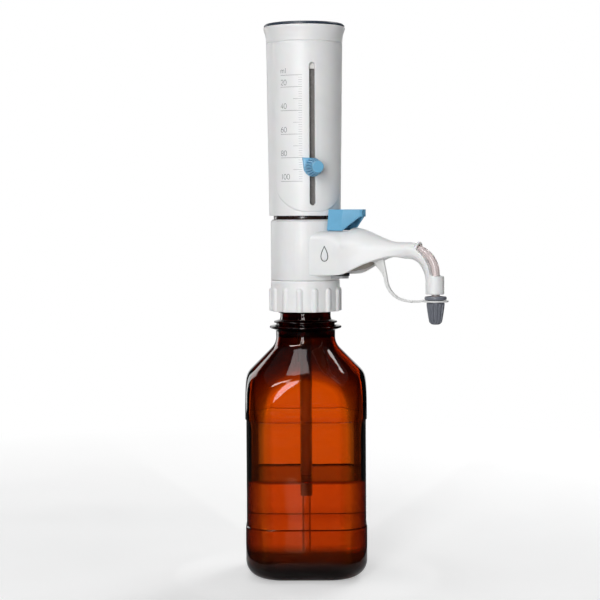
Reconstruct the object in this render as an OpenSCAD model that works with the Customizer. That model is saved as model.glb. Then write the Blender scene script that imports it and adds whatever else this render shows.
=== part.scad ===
// Bottle-top dispenser with a floating piston, on a square threaded bottle.
// Origin: centre of the bottle's foot. +Z up, +X along the discharge arm.

/* [Bottle] */
// Width of the square bottle across its flat sides
bottle_w = 98.5; // [88:0.5:116]
// Height of the bottle from its foot to its mouth
bottle_h = 229.5; // [190:0.5:276]
// Radius of the bottle's upright corners
corner_r = 24.5; // [16:0.5:30]
// Glass thickness
glass_t = 3; // [2:0.25:4]
// Radius of the heel, where the sides turn into the foot
heel_r = 16; // [8:1:16]
// Depth of the label panel below the side faces
label_d = 0.8; // [0.4:0.1:1.5]
// Bore radius of the neck
neck_bore_r = 15; // [13:0.5:16]
// Root radius of the neck thread
neck_r = 20.7; // [20:0.1:21.5]
// Crest radius of the neck thread
thread_r = 22.4; // [22:0.1:22.6]
// Thread pitch
pitch = 4; // [3:0.5:5]
// Turn of the square bottle against the discharge arm
bottle_turn = 30; // [0:5:45]

/* [Metering] */
// Nominal volume in millilitres
capacity = 100; // [50:5:120]
// Volume that the pointer is set to, in millilitres
setting = 80; // [10:2:100]
// Bore radius of the glass cylinder
bore_r = 18.4; // [16:0.1:22.1]
// Wall of the glass cylinder
cylinder_t = 2.5; // [2:0.1:3]
// Wall of the guard tube around it
guard_t = 1.8; // [1.4:0.1:2.2]
// Radius of the piston rod
rod_r = 5; // [3.5:0.5:6]

/* [Sleeve] */
// Wall of the sleeve at its lower rim
sleeve_t = 2.2; // [1.9:0.1:3]
// How much the sleeve flares from its lower rim to its top
sleeve_flare = 1.8; // [1:0.1:3]
// Height of the flared top cap below its lid
cap_h = 12.8; // [10:0.2:18]
// Width of the slot that the pointer runs in
slot_w = 4.8; // [4:0.1:6]
// Half angle of the scale panel
panel_half = 66; // [50:1:70]
// Bearing of the slot, measured from the discharge arm
slot_bearing = -48; // [-60:1:-40]

/* [Valve block] */
// Height of the valve block
block_h = 49.1; // [46:0.5:60]
// Height of the gap between block and sleeve
neck_gap = 3.1; // [2.6:0.1:5]
// Height of the threaded collar
collar_h = 25.6; // [22:0.2:30]
// Number of grip ribs on the collar
collar_ribs = 14; // [8:1:20]

/* [Discharge arm] */
// Distance from the bottle's axis to the discharge tube's mouth
reach = 118; // [98:1:142]
// Centreline radius of the arm's bend
bend_r = 22; // [18:1:26]
// Radius of the arm at its nozzle
nozzle_r = 7.3; // [6:0.1:9]
// Outer radius of the discharge tube
tube_r = 3.25; // [2.5:0.05:3.5]
// Height of the recirculation lever
lever_h = 17; // [12:0.5:22]
// Length of the recirculation lever
lever_len = 25; // [20:1:28]

/* [Dip tube] */
// Outer radius of the upper dip tube
dip_r = 4.9; // [4.5:0.1:5.2]
// Wall of the dip tubes
dip_t = 1.4; // [1:0.1:1.6]

/* [Hidden] */
$fn = 96;

fit = 0.05;      // gap between parts that are pressed or snapped together
run = 0.1;       // gap between parts that slide or turn on each other
eps = 0.01;      // overlap of cutting shapes past a face

// Metering heights: one millilitre lifts the piston this far
ml = 1000 / (PI * bore_r * bore_r);
stroke = capacity * ml;

// Heights of the dispenser, all from the bottle's mouth
washer_t = 1.4;
seat_z = bottle_h + washer_t;
collar_z = bottle_h - 13;
block_z = collar_z + collar_h + 0.2;
block_top = block_z + block_h;
sleeve_z = block_top + neck_gap;
stop_z = block_top + stroke + 26.6;
sleeve_top = stop_z + 22.3;
lid_z = sleeve_top + cap_h;
top_z = lid_z + 2.4;
arm_z = block_z + 23.7;

// Radii of the tubes, from the bore outwards
cylinder_r = bore_r + cylinder_t;
guard_in = cylinder_r + 0.9;
guard_r = guard_in + guard_t;
sleeve_in = guard_r + 3.4;
sleeve_r = sleeve_in + sleeve_t;
sleeve_top_r = sleeve_r + sleeve_flare;
panel_r = sleeve_r + 1.1;
block_r = sleeve_in + 1.1;
core_r = block_r - 1.85;
ring_r = guard_r + 2.1;

// ---- helpers -------------------------------------------------------------

// Points of an arc in the XY plane
function arc(cx, cy, r, from, to, n) =
    [for (i = [0:n]) let (a = from + (to - from) * i / n) [cx + r * cos(a), cy + r * sin(a)]];

module ring(r_out, r_in, z0, z1) {
    translate([0, 0, z0]) difference() {
        cylinder(r = r_out, h = z1 - z0);
        translate([0, 0, -1]) cylinder(r = r_in, h = z1 - z0 + 2);
    }
}

// Turns a shape drawn along +X so that it points along the slot
module at_slot() { rotate([0, 0, slot_bearing]) children(); }

// A cylinder along +X
module rod_x(r, x0, x1, z = 0) {
    translate([x0, 0, z]) rotate([0, 90, 0]) cylinder(r = r, h = x1 - x0);
}

// Extrudes an outline drawn in X and Z across the arm
module across(half) { rotate([90, 0, 0]) translate([0, 0, -half]) linear_extrude(2 * half) children(); }

// ---- bottle --------------------------------------------------------------

half_w = bottle_w / 2;
dome_r = (half_w - corner_r) * sqrt(2) + corner_r + 0.2;
slope = 45;
dome_arc_r = 47.5;
fillet_r = 13;
shoulder_neck_r = 24.3;
neck_base_z = bottle_h - 34;
cone_top_r = shoulder_neck_r + fillet_r * (1 - cos(slope));
cone_top_z = neck_base_z - fillet_r * sin(slope);
cone_foot_r = dome_r - dome_arc_r * (1 - cos(slope));
cone_foot_z = cone_top_z - (cone_foot_r - cone_top_r) / tan(slope);
dome_foot_z = cone_foot_z - dome_arc_r * sin(slope);
label_top = dome_foot_z - 5;
label_foot = 43.5;
punt_r = 30;
punt_h = 2.6;
floor_z = 8;
thread_z = bottle_h - 7;

module square_section(w, r) {
    square([w, w - 2 * r], center = true);
    square([w - 2 * r, w], center = true);
    for (x = [-1, 1], y = [-1, 1]) translate([x * (w / 2 - r), y * (w / 2 - r)]) circle(r = r);
}

// Outline of the glass from the shoulder up to the mouth, at a distance in from the outside
function shoulder(inset) = concat(
    [[dome_r - inset, dome_foot_z]],
    arc(dome_r - dome_arc_r, dome_foot_z, dome_arc_r - inset, 0, slope, 5),
    arc(shoulder_neck_r + fillet_r, neck_base_z, fillet_r + inset, 180 + slope, 180, 3));

function thread_ridge(z) =
    [[neck_r, z - 1.4], [thread_r, z - 0.7], [thread_r, z + 0.3], [neck_r, z + 1]];

module glass_outside() {
    rotate_extrude() polygon(concat(
        [[0, punt_h], [punt_r - 8, punt_h], [punt_r, 0]],
        arc(dome_r - heel_r, heel_r, heel_r, -90, 0, 4),
        shoulder(0),
        [[shoulder_neck_r, bottle_h - 28.5],
         [29.6, bottle_h - 26.8], [29.6, bottle_h - 25.2],
         [shoulder_neck_r - 0.4, bottle_h - 24.2],
         [26, bottle_h - 22.8], [26, bottle_h - 21.4], [neck_r, bottle_h - 20]],
        thread_ridge(thread_z - 2 * pitch), thread_ridge(thread_z - pitch), thread_ridge(thread_z),
        [[neck_r, bottle_h - 1], [neck_r - 1, bottle_h], [0, bottle_h]]));
}

module glass_inside() {
    rotate_extrude() polygon(concat(
        [[0, floor_z], [dome_r - glass_t, floor_z]],
        shoulder(glass_t),
        [[neck_bore_r + 3, neck_base_z + 6], [neck_bore_r, neck_base_z + 10],
         [neck_bore_r, bottle_h + 1], [0, bottle_h + 1]]));
}

module heel_cut() {
    outline = concat([[half_w + 1, -1], [half_w + 1, heel_r]],
        arc(half_w - heel_r, heel_r, heel_r, 0, -90, 5),
        [[half_w - heel_r, -1]]);
    for (a = [0, 90, 180, 270]) rotate([0, 0, a]) across(bottle_w) polygon(outline);
}

module bottle() {
    color("saddlebrown", 0.6) rotate([0, 0, bottle_turn]) difference() {
        intersection() {
            glass_outside();
            union() {
                linear_extrude(bottle_h + 1) square_section(bottle_w - 2 * label_d, corner_r - label_d);
                linear_extrude(label_foot) square_section(bottle_w, corner_r);
                translate([0, 0, label_top]) linear_extrude(bottle_h + 1 - label_top)
                    square_section(bottle_w, corner_r);
            }
        }
        intersection() {
            glass_inside();
            linear_extrude(bottle_h + 2)
                square_section(bottle_w - 2 * (glass_t + label_d), corner_r - glass_t - label_d);
        }
        heel_cut();
    }
}

// ---- collar and neck washer ------------------------------------------------

spigot_r = thread_r - 0.1;
spigot_flange_z = seat_z + 4.1;
spigot_neck_r = 18;

module neck_washer() {
    color("white") ring(neck_r - 0.2, neck_bore_r + 0.2, bottle_h, seat_z);
}

module collar() {
    rib_r = 3.1;
    rib_top = collar_z + 19.9;
    top = block_z - 0.2;
    color("whitesmoke") difference() {
        union() {
            ring(block_r + 0.1, spigot_neck_r + run + 0.2, spigot_flange_z + run, top);
            ring(block_r + 0.1, thread_r + 0.4, collar_z, spigot_flange_z + run);
            for (i = [0:collar_ribs - 1]) rotate([0, 0, (i + 0.28) * 360 / collar_ribs])
                translate([block_r + 1.7 - rib_r, 0, collar_z + 0.6])
                    cylinder(r = rib_r, h = rib_top - collar_z - 0.6);
        }
        translate([0, 0, collar_z - 1])
            cylinder(r = thread_r + 0.4, h = spigot_flange_z + run - collar_z + 1);
    }
}

// ---- valve block -------------------------------------------------------------

valve_bore_r = 8;
inlet_top = arm_z - 10.5;
channel_r = 3;
stub_r = 12.4;
stub_x = block_r + 17.4;
shutter_d = 2.1;
shutter_out = guard_r + 1.7;
port_x = guard_r + 1;
vent_half = 6;
vent_z = block_z + 1.2;
vent_h = 4.6;
vent_x = block_r - 10;
return_x = -9;
return_y = 5.2;
return_r = 2;

module valve_block() {
    color("ivory") difference() {
        union() {
            translate([0, 0, block_z]) cylinder(r = core_r, h = block_h);
            translate([0, 0, seat_z]) cylinder(r = spigot_neck_r, h = block_z - seat_z + eps);
            translate([0, 0, seat_z]) cylinder(r = spigot_r, h = spigot_flange_z - seat_z);
            rod_x(stub_r, core_r - 6, stub_x, arm_z);
        }
        // bore for the filling valve, and the channel up into the cylinder
        translate([0, 0, seat_z - 1]) cylinder(r = valve_bore_r + fit, h = inlet_top - seat_z + 1);
        translate([0, 0, inlet_top - 1]) cylinder(r = channel_r, h = block_top - inlet_top + 2);
        // channel out to the discharge valve in its stub
        rod_x(channel_r, 0, block_r, arm_z);
        rod_x(valve_bore_r + fit, core_r - 2.2, stub_x + 1, arm_z);
        // groove of the recirculation shutter, with its feed and return ports
        ring(shutter_out + run, guard_r + 0.05, block_top - shutter_d - run, block_top + 1);
        translate([port_x, 0, arm_z]) cylinder(r = 1.1, h = block_h / 2);
        rotate([0, 0, 60]) translate([port_x, 0, block_z + 12]) cylinder(r = 1.1, h = block_h);
        // air inlet above the vent filter, down to the neck
        translate([vent_x, -vent_half - run, vent_z]) cube([block_r, 2 * (vent_half + run), vent_h]);
        translate([12, 0, seat_z - 1]) cylinder(r = 1.2, h = vent_z - seat_z + 3);
        rod_x(1.2, 12, vent_x + 1, vent_z + 1);
        // socket of the return tube
        translate([return_x, return_y, seat_z - 1]) cylinder(r = return_r + fit, h = 10);
    }
}

module block_housing() {
    chamfer = 1.6;
    color("whitesmoke") difference() {
        translate([0, 0, block_z]) rotate_extrude() polygon([
            [core_r + fit, 0], [block_r, 0], [block_r, block_h - chamfer],
            [block_r - chamfer, block_h], [core_r + fit, block_h]]);
        rod_x(stub_r + 0.2, 0, block_r + 1, arm_z);
        translate([vent_x, -vent_half - run, vent_z]) cube([block_r, 2 * (vent_half + run), vent_h]);
    }
}

// ---- filling valve and dip tubes ----------------------------------------------

ball_r = 3.6;
seat_r = 2;
ball_lift = sqrt(ball_r * ball_r - seat_r * seat_r) + 0.03;
dip_in = dip_r - dip_t;
nipple_foot = bottle_h - 16;
nipple_top = bottle_h - 4;
inlet_seat_z = bottle_h + 15;
dip_joint_z = 65.5;
dip_clear = 8.5;
dip_lower_r = dip_in - run;

module filling_valve() {
    color("gainsboro") difference() {
        union() {
            translate([0, 0, nipple_top]) cylinder(r = valve_bore_r, h = inlet_top - nipple_top - 0.1);
            translate([0, 0, nipple_foot]) cylinder(r = dip_in - fit, h = nipple_top - nipple_foot + eps);
        }
        translate([0, 0, nipple_foot - 1]) cylinder(r = seat_r, h = inlet_seat_z - nipple_foot + 2);
        translate([0, 0, inlet_seat_z]) cylinder(r = ball_r + 1.2, h = inlet_top - 2 - inlet_seat_z);
        translate([0, 0, inlet_top - 3]) cylinder(r = 2.4, h = 4);
    }
}

module inlet_ball() {
    color("silver") translate([0, 0, inlet_seat_z + ball_lift]) sphere(r = ball_r);
}

module dip_tube_upper() {
    color("gainsboro", 0.6) ring(dip_r, dip_in, dip_joint_z, nipple_top - 0.1);
}

module dip_tube_lower() {
    color("gainsboro", 0.6) ring(dip_lower_r, dip_lower_r - dip_t + 0.4, floor_z + dip_clear, dip_joint_z + 60);
}

module return_tube() {
    color("gainsboro", 0.6) translate([return_x, return_y, 0])
        ring(return_r, return_r - 0.7, bottle_h - 57, seat_z + 8.9);
}

// ---- discharge valve, nut and tube ----------------------------------------------

dv_x0 = core_r - 2.2;
dv_seat_x = dv_x0 + 4;
dv_chamber_x = stub_x - 3.5;
flange_t = 1.4;
nut_x0 = block_r + 5.9;
nut_x1 = block_r + 33.9;
nut_r = 16.2;
tube_bore = 2.2;
tube_rise = 2.5;
tube_bend_r = bend_r - 2;
tube_cx = reach - tube_bend_r;
tube_cz = arm_z + tube_rise - tube_bend_r;
rise_r = round(pow(tube_cx - stub_x - flange_t, 2) / (2 * tube_rise));
nozzle_top = arm_z - bend_r;
tube_end_z = nozzle_top - 24.5;

module discharge_valve() {
    color("gainsboro") difference() {
        rod_x(valve_bore_r, dv_x0 + 0.1, stub_x, arm_z);
        rod_x(seat_r, dv_x0 - 1, dv_seat_x + 1, arm_z);
        rod_x(ball_r + 1.2, dv_seat_x, dv_chamber_x, arm_z);
        rod_x(2.4, dv_chamber_x - 1, stub_x + 1, arm_z);
        // feed to the recirculation port
        translate([port_x, 0, arm_z + seat_r - 1]) cylinder(r = 1.1, h = 12);
    }
}

module discharge_ball() {
    color("silver") translate([dv_seat_x + ball_lift, 0, arm_z]) sphere(r = ball_r);
}

module discharge_spring() {
    coil_r = 2.9;
    wire = 0.5;
    x0 = dv_seat_x + ball_lift + ball_r + 0.05;
    x1 = dv_chamber_x - 0.05;
    turns = 5;
    color("silver") for (i = [0:turns - 1])
        translate([x0 + wire + (x1 - x0 - 2 * wire) * i / (turns - 1), 0, arm_z])
            rotate([0, 90, 0]) rotate_extrude() translate([coil_r, 0]) circle(r = wire, $fn = 24);
}

// Path of the discharge tube as a solid of radius r: gentle rise, bend, drop
module tube_path(r, x0, z_end) {
    translate([tube_cx, 0, tube_cz + tube_bend_r - rise_r]) rotate([90, 0, 0]) rotate([0, 0, 90])
        rotate_extrude(angle = asin((tube_cx - x0) / rise_r), $fn = 720)
            translate([rise_r, 0]) circle(r = r, $fn = 96);
    translate([tube_cx, 0, tube_cz]) rotate([90, 0, 0]) rotate_extrude(angle = 90)
        translate([tube_bend_r, 0]) circle(r = r);
    translate([reach, 0, z_end]) cylinder(r = r, h = tube_cz - z_end);
}

module tube_flange() {
    color("gainsboro") difference() {
        rod_x(9, stub_x + 0.05, stub_x + flange_t, arm_z);
        rod_x(tube_bore, stub_x - 1, stub_x + flange_t + 1, arm_z);
    }
}

module discharge_tube() {
    color("mistyrose", 0.7) difference() {
        tube_path(tube_r, stub_x + flange_t + 0.3, tube_end_z);
        tube_path(tube_bore, stub_x + flange_t - 1, tube_end_z - 1);
    }
}

module union_nut() {
    seat = stub_x + flange_t + 0.1;
    color("dimgray") translate([0, 0, arm_z]) rotate([0, 90, 0]) rotate_extrude() polygon([
        [stub_r + run, nut_x0], [nut_r - 0.8, nut_x0], [nut_r, nut_x0 + 0.8],
        [nut_r, nut_x0 + 13], [nut_r - 1.2, nut_x0 + 19], [nut_r - 2.8, nut_x0 + 24],
        [nut_r - 4.9, nut_x1], [tube_r + 1.6, nut_x1], [tube_r + 1.6, seat], [stub_r + run, seat]]);
}

// ---- arm shell --------------------------------------------------------------------

shell_root = block_r * sin(54.5);
shell_x0 = block_r + 16;
shell_x1 = reach - 30;
shell_r = 18.9;
shell_t = 1.6;
nozzle_x = reach - 0.6;
shell_bend_r = bend_r + 1;
shell_cx = nozzle_x - shell_bend_r;
shell_cz = arm_z - shell_bend_r;
seat_top = arm_z + 16.2;
lever_foot = seat_top + 0.2;
cavity_x = nut_x1 + 4;

// Half width of the arm along X
function arm_half(x) =
    x <= shell_x0 ? shell_r : x >= shell_x1 ? nozzle_r
    : nozzle_r + (shell_r - nozzle_r) / 2 * (1 + cos(180 * (x - shell_x0) / (shell_x1 - shell_x0)));

// Lower edge of the shell along X
function under_z(x) =
    let (t = max(0, min(1, (x - shell_x0) / (shell_x1 - shell_x0))))
    arm_z - 19.5 + 15.8 * sin(90 * t);

arm_steps = 10;
arm_xs = [for (i = [0:arm_steps]) shell_x0 + (shell_x1 - shell_x0) * i / arm_steps];

// Region above the shell's lower edge
module above_under() {
    polygon(concat([[0, arm_z + 40], [0, under_z(0)]],
        [for (x = arm_xs) [x, under_z(x)]],
        [[shell_cx + 0.5, under_z(shell_x1)], [shell_cx + 0.5, arm_z + 40]]));
}

// Half width of the arm at points from x0 to x_end, as [half width, x]
function arm_side(inset, x0, x_end) =
    [for (x = concat([x0], [for (x = arm_xs) if (x > x0 && x < x_end) x], [x_end]))
        [arm_half(x) - inset, x]];

// Arched body of the arm: round above its axis, upright walls below it
module arm_body(inset, x0, x_end) {
    side = arm_side(inset, x0, x_end);
    intersection() {
        translate([0, 0, arm_z]) rotate([0, 90, 0]) rotate_extrude()
            polygon(concat([[0, x0]], side, [[0, x_end]]));
        translate([0, -40, arm_z - 1]) cube([reach, 80, 41]);
    }
    translate([0, 0, arm_z - 30]) linear_extrude(30)
        polygon(concat([for (p = side) [p[1], -p[0]]],
            [for (i = [len(side) - 1:-1:0]) [side[i][1], side[i][0]]]));
}

// Quarter bend of the arm and its upright nozzle
module arm_bend(r, z_end) {
    translate([shell_cx, 0, shell_cz]) rotate([90, 0, 0]) rotate_extrude(angle = 90)
        translate([shell_bend_r, 0]) circle(r = r);
    translate([nozzle_x, 0, z_end]) cylinder(r = r, h = shell_cz - z_end);
}

module arm_shell() {
    color("white") difference() {
        union() {
            intersection() {
                arm_body(0, shell_x0 - 3, shell_cx);
                across(40) above_under();
            }
            // broad root that wraps the block, with rounded upper edges
            intersection() {
                translate([0, 0, arm_z - 19.5]) linear_extrude(seat_top - arm_z + 19.5) polygon([
                    [8, -shell_root], [16.5, -shell_root], [shell_x0 - 2, -shell_r],
                    [shell_x0 - 2, shell_r], [16.5, shell_root], [8, shell_root]]);
                translate([0, 0, arm_z - 19.5]) rotate([90, 0, 90]) linear_extrude(60) union() {
                    translate([-30, 0]) square([60, seat_top - arm_z + 11.5]);
                    translate([-shell_root + 8, 0]) square([2 * shell_root - 16, seat_top - arm_z + 19.5]);
                    for (s = [-1, 1]) translate([s * (shell_root - 8), seat_top - arm_z + 11.5])
                        circle(r = 8);
                }
            }
            arm_bend(nozzle_r, nozzle_top - 11.5);
        }
        // block, lever pocket, nut space and tube tunnel
        translate([0, 0, block_z - 1]) cylinder(r = block_r + fit, h = block_h + 20);
        translate([0, 0, seat_top]) cylinder(r = shell_x0 + 1.4, h = 20);
        arm_body(shell_t, 5, cavity_x);
        tube_path(tube_r + 0.3, stub_x, nozzle_top - 20);
        // open side of the bend, where the tube lies bare
        translate([tube_cx, 0, tube_cz]) rotate([90, 0, 0]) rotate_extrude(angle = 75)
            translate([tube_bend_r - tube_r, -12]) square([20, 24]);
        translate([tube_cx + tube_bend_r - tube_r, -12, tube_cz - 1.2]) cube([20, 24, 1.3]);
    }
}

// ---- closure cap and its strap ------------------------------------------------------

cap_flange_r = 8.7;
cap_top = nozzle_top - 13;
cap_foot = nozzle_top - 35.2;
ring_z = cap_top - 4.6;
ring_out = 10.2;
ring_t = 1.4;

module tube_cap() {
    color("slategray") difference() {
        translate([reach, 0, 0]) union() {
            rotate_extrude() polygon([
                [0, cap_foot], [3.6, cap_foot], [4.2, cap_foot + 0.6], [6.2, ring_z - 0.3],
                [6.2, cap_top - 3], [cap_flange_r, cap_top - 2.8], [cap_flange_r, cap_top - 0.5],
                [cap_flange_r - 0.5, cap_top], [0, cap_top]]);
            for (i = [0:8]) rotate([0, 0, i * 40]) translate([0, 0, cap_foot]) across(0.7) polygon([
                [3, 0.3], [4.4, 0.3], [6.9, ring_z - 0.4 - cap_foot], [3, ring_z - 0.4 - cap_foot]]);
        }
        translate([reach, 0, tube_end_z - 1]) cylinder(r = tube_r + fit, h = 20);
    }
}

module strap_ring() {
    color("lightgray") translate([reach, 0, 0]) ring(ring_out, 6.2 + fit, ring_z, ring_z + ring_t);
}

function bezier(p, t) = pow(1 - t, 3) * p[0] + 3 * t * pow(1 - t, 2) * p[1]
    + 3 * t * t * (1 - t) * p[2] + pow(t, 3) * p[3];

module cap_strap() {
    root_x = cavity_x + 0.4;
    ring_x = reach - ring_out - 0.25;
    band = 1.8;
    knee = [root_x + 7.6, arm_z - 20.5];
    line = [knee, knee + [2, -14], [ring_x - 22, ring_z - 2.6], [ring_x, ring_z + ring_t / 2]];
    steps = 14;
    upper = [for (i = [0:steps]) let (t = i / steps, w = band + 1.2 * (1 - t),
        d = bezier(line, min(1, t + 0.01)) - bezier(line, max(0, t - 0.01)))
        bezier(line, t) + w / 2 * [-d[1], d[0]] / norm(d)];
    lower = [for (i = [steps:-1:0]) let (t = i / steps, w = band + 1.2 * (1 - t),
        d = bezier(line, min(1, t + 0.01)) - bezier(line, max(0, t - 0.01)))
        bezier(line, t) - w / 2 * [-d[1], d[0]] / norm(d)];
    color("gainsboro", 0.8) difference() {
        across(1.5) polygon(concat([[root_x - 5.6, arm_z], [root_x + 6.6, arm_z]], upper, lower));
        across(3) translate([0, -0.05]) above_under();
    }
}

// ---- recirculation ring, shutter and lever --------------------------------------------

lever_r0 = panel_r + run;
lever_x1 = sleeve_r + 11.4;
lever_x2 = sleeve_r + 0.4 + lever_len;
lever_root = 12.9;
tab_half = 8;
tab_x = lever_r0 + 2;

module valve_ring() {
    color("saddlebrown") union() {
        ring(ring_r, guard_r + run, block_top + 0.1, sleeve_z - 0.2);
        intersection() {
            ring(tab_x, ring_r - 1, block_top + 0.1, sleeve_z - 0.3);
            translate([0, -tab_half, block_top]) cube([60, 2 * tab_half, 10]);
        }
    }
}

module port_shutter() {
    color("white") intersection() {
        ring(shutter_out, guard_r + run, block_top - shutter_d, block_top + 0.1);
        translate([0, -6, block_top - 10]) cube([60, 12, 20]);
    }
}

module lever_plan(inset) {
    difference() {
        polygon([
            [lever_r0 - 6, -lever_root + inset], [lever_x1, -lever_root + 1 + inset],
            [lever_x2 - 1.6 - inset, -4.6 + inset], [lever_x2 - inset, -3 + inset / 2],
            [lever_x2 - inset, 3 - inset / 2], [lever_x2 - 1.6 - inset, 4.6 - inset],
            [lever_x1, lever_root - 1 - inset], [lever_r0 - 6, lever_root - inset]]);
        circle(r = lever_r0 + inset);
    }
}

module recirc_lever() {
    wall = 1.7;
    tip_z = 11.2;
    color("deepskyblue") difference() {
        translate([0, 0, lever_foot]) intersection() {
            linear_extrude(lever_h) lever_plan(0);
            across(30) polygon([
                [0, 0], [lever_x1, 0], [lever_x2 - 2, tip_z], [lever_x2 + 1, tip_z],
                [lever_x2 + 1, lever_h], [0, lever_h]]);
            rotate([90, 0, 90]) linear_extrude(80) polygon([
                [-lever_root, 0], [lever_root, 0], [lever_root - 1.8, lever_h], [1.8 - lever_root, lever_h]]);
        }
        translate([0, 0, lever_foot - 1]) linear_extrude(lever_h - 1) lever_plan(wall);
        intersection() {
            ring(tab_x + fit, ring_r - 1, block_top + 0.1 - fit, sleeve_z - 0.3 + fit);
            translate([0, -tab_half - fit, block_top - 1]) cube([60, 2 * (tab_half + fit), 10]);
        }
    }
}

// ---- vent filter and its tab -------------------------------------------------------------

module vent_plate(z0, z1, x_end) {
    translate([0, 0, z0]) linear_extrude(z1 - z0) {
        translate([vent_x + 0.3, -vent_half]) square([x_end - vent_half - vent_x - 0.3, 2 * vent_half]);
        translate([x_end - vent_half, 0]) circle(r = vent_half);
    }
}

module vent_filter() { color("black") vent_plate(vent_z + 2.2, vent_z + vent_h - 0.1, block_r + 12.4); }

module vent_tab() { color("silver") vent_plate(vent_z + 0.1, vent_z + 2.15, block_r + 11.6); }

// ---- cylinder, guard tube and stop ring -----------------------------------------------------

seal_t = 1.5;

module cylinder_seal() {
    color("white") ring(cylinder_r + 0.6, bore_r + 0.1, block_top, block_top + seal_t);
}

module glass_cylinder() {
    color("lightcyan", 0.5) ring(cylinder_r, bore_r, block_top + seal_t, stop_z);
}

module guard_tube() { color("saddlebrown", 0.7) ring(guard_r, guard_in, block_top, stop_z); }

module stop_ring() { color("white") ring(sleeve_in - 0.4, rod_r + 0.6, stop_z, stop_z + 5); }

// ---- plunger: sleeve, panel, cap, rod and piston ---------------------------------------------

panel_in = sleeve_r - 0.8;
panel_edge = panel_r * sin(panel_half);
panel_foot = sleeve_z + 3.2;
panel_corner = 22.6;
slot_foot = sleeve_z + 8.4;
slot_top = stop_z + 4.7;
piston_z = block_top + 0.3;
piston_h = 16;
boss_r = rod_r + 4;

// U-shaped outline of the panel, seen along the slot's bearing
module panel_u(grow) {
    half = panel_edge + grow;
    r = panel_corner + grow;
    translate([-half + r, 0]) square([2 * (half - r), sleeve_top]);
    translate([-half, panel_foot + panel_corner]) square([2 * half, sleeve_top]);
    for (s = [-1, 1]) translate([s * (half - r), panel_foot + panel_corner]) circle(r = r);
}

module panel_prism(grow, x0) {
    at_slot() translate([x0, 0, 0]) rotate([90, 0, 90]) linear_extrude(60) intersection() {
        panel_u(grow);
        translate([-60, panel_foot - grow]) square([120, sleeve_top - panel_foot + 1]);
    }
}

module slot_cut(grow, x0) {
    half = slot_w / 2 + grow;
    at_slot() translate([x0, 0, 0]) rotate([90, 0, 90]) linear_extrude(60) union() {
        translate([-half, slot_foot + slot_w / 2]) square([2 * half, slot_top - slot_foot - slot_w]);
        for (z = [slot_foot + slot_w / 2, slot_top - slot_w / 2]) translate([0, z]) circle(r = half);
    }
}

module sleeve() {
    color("whitesmoke") difference() {
        rotate_extrude() polygon([
            [sleeve_in, sleeve_z], [sleeve_r - 0.4, sleeve_z], [sleeve_r, sleeve_z + 0.4],
            [sleeve_top_r, sleeve_top], [sleeve_in, sleeve_top]]);
        difference() {
            panel_prism(0.12, 5);
            translate([0, 0, sleeve_z - 1]) cylinder(r = panel_in, h = sleeve_top - sleeve_z + 2);
        }
        slot_cut(0, 5);
    }
}

module scale_panel() {
    color("white") difference() {
        intersection() {
            ring(panel_r, panel_in + fit, panel_foot, sleeve_top - fit);
            panel_prism(0, 5);
        }
        slot_cut(0, 5);
    }
}

module top_cap() {
    color("whitesmoke") rotate_extrude() polygon([
        [sleeve_in - 2, sleeve_top - 8.5], [sleeve_in - fit, sleeve_top - 8.5],
        [sleeve_in - fit, sleeve_top], [sleeve_top_r, sleeve_top],
        [sleeve_top_r + 0.15, sleeve_top + 3], [sleeve_top_r + 0.8, sleeve_top + 7],
        [sleeve_top_r + 2, sleeve_top + 10.5], [sleeve_top_r + 2.2, lid_z - 1.2],
        [sleeve_top_r + 1.8, lid_z], [sleeve_in - 2, lid_z]]);
    color("whitesmoke") ring(sleeve_in - 1.9, rod_r + fit, sleeve_top + 2, sleeve_top + 5);
    color("whitesmoke") ring(boss_r, rod_r + fit, sleeve_top - 8, sleeve_top + 2.1);
}

module top_disc() {
    disc_r = sleeve_top_r + 1.5;
    color("darkslategray") rotate_extrude() polygon([
        [0, lid_z - 3], [sleeve_in - 2.1, lid_z - 3], [sleeve_in - 2.1, lid_z],
        [disc_r, lid_z], [disc_r + 0.3, lid_z + 0.5], [disc_r + 0.3, lid_z + 1.3],
        [disc_r - 0.8, top_z], [0, top_z]]);
}

module piston_rod() {
    color("white") {
        translate([0, 0, piston_z + piston_h]) cylinder(r = rod_r, h = sleeve_top + 5 - piston_z - piston_h);
        translate([0, 0, sleeve_top + 5]) cylinder(r = 3, h = 4.2);
    }
}

module rod_nut() {
    color("silver") translate([0, 0, sleeve_top + 5]) difference() {
        cylinder(r = 6.4, h = 3.4, $fn = 6);
        translate([0, 0, -1]) cylinder(r = 3 + fit, h = 6);
    }
}

groove_z = 10;
groove_h = 3;
groove_d = 2;

module piston() {
    color("white") translate([0, 0, piston_z]) rotate_extrude() polygon([
        [0, 0], [bore_r - 0.6, 0], [bore_r - 0.06, 1], [bore_r - 0.06, groove_z],
        [bore_r - groove_d, groove_z], [bore_r - groove_d, groove_z + groove_h],
        [bore_r - 0.06, groove_z + groove_h], [bore_r - 0.06, piston_h], [0, piston_h]]);
}

module piston_ring() {
    color("dimgray") ring(bore_r - 0.03, bore_r - groove_d + fit,
        piston_z + groove_z + fit, piston_z + groove_z + groove_h - fit);
}

// ---- volume slider and its clamp ---------------------------------------------------------------

lug_top = stop_z - setting * ml - 0.05;
lug_h = 7.1;
slider_z = lug_top - lug_h / 2;
plate_in = panel_r + run;
plate_t = 2.2;
plate_out = plate_in + plate_t;
disc_r = 7.45;
knob_len = 18;
knob_face_r = 4.6;
screw_r = 1.7;

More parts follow.
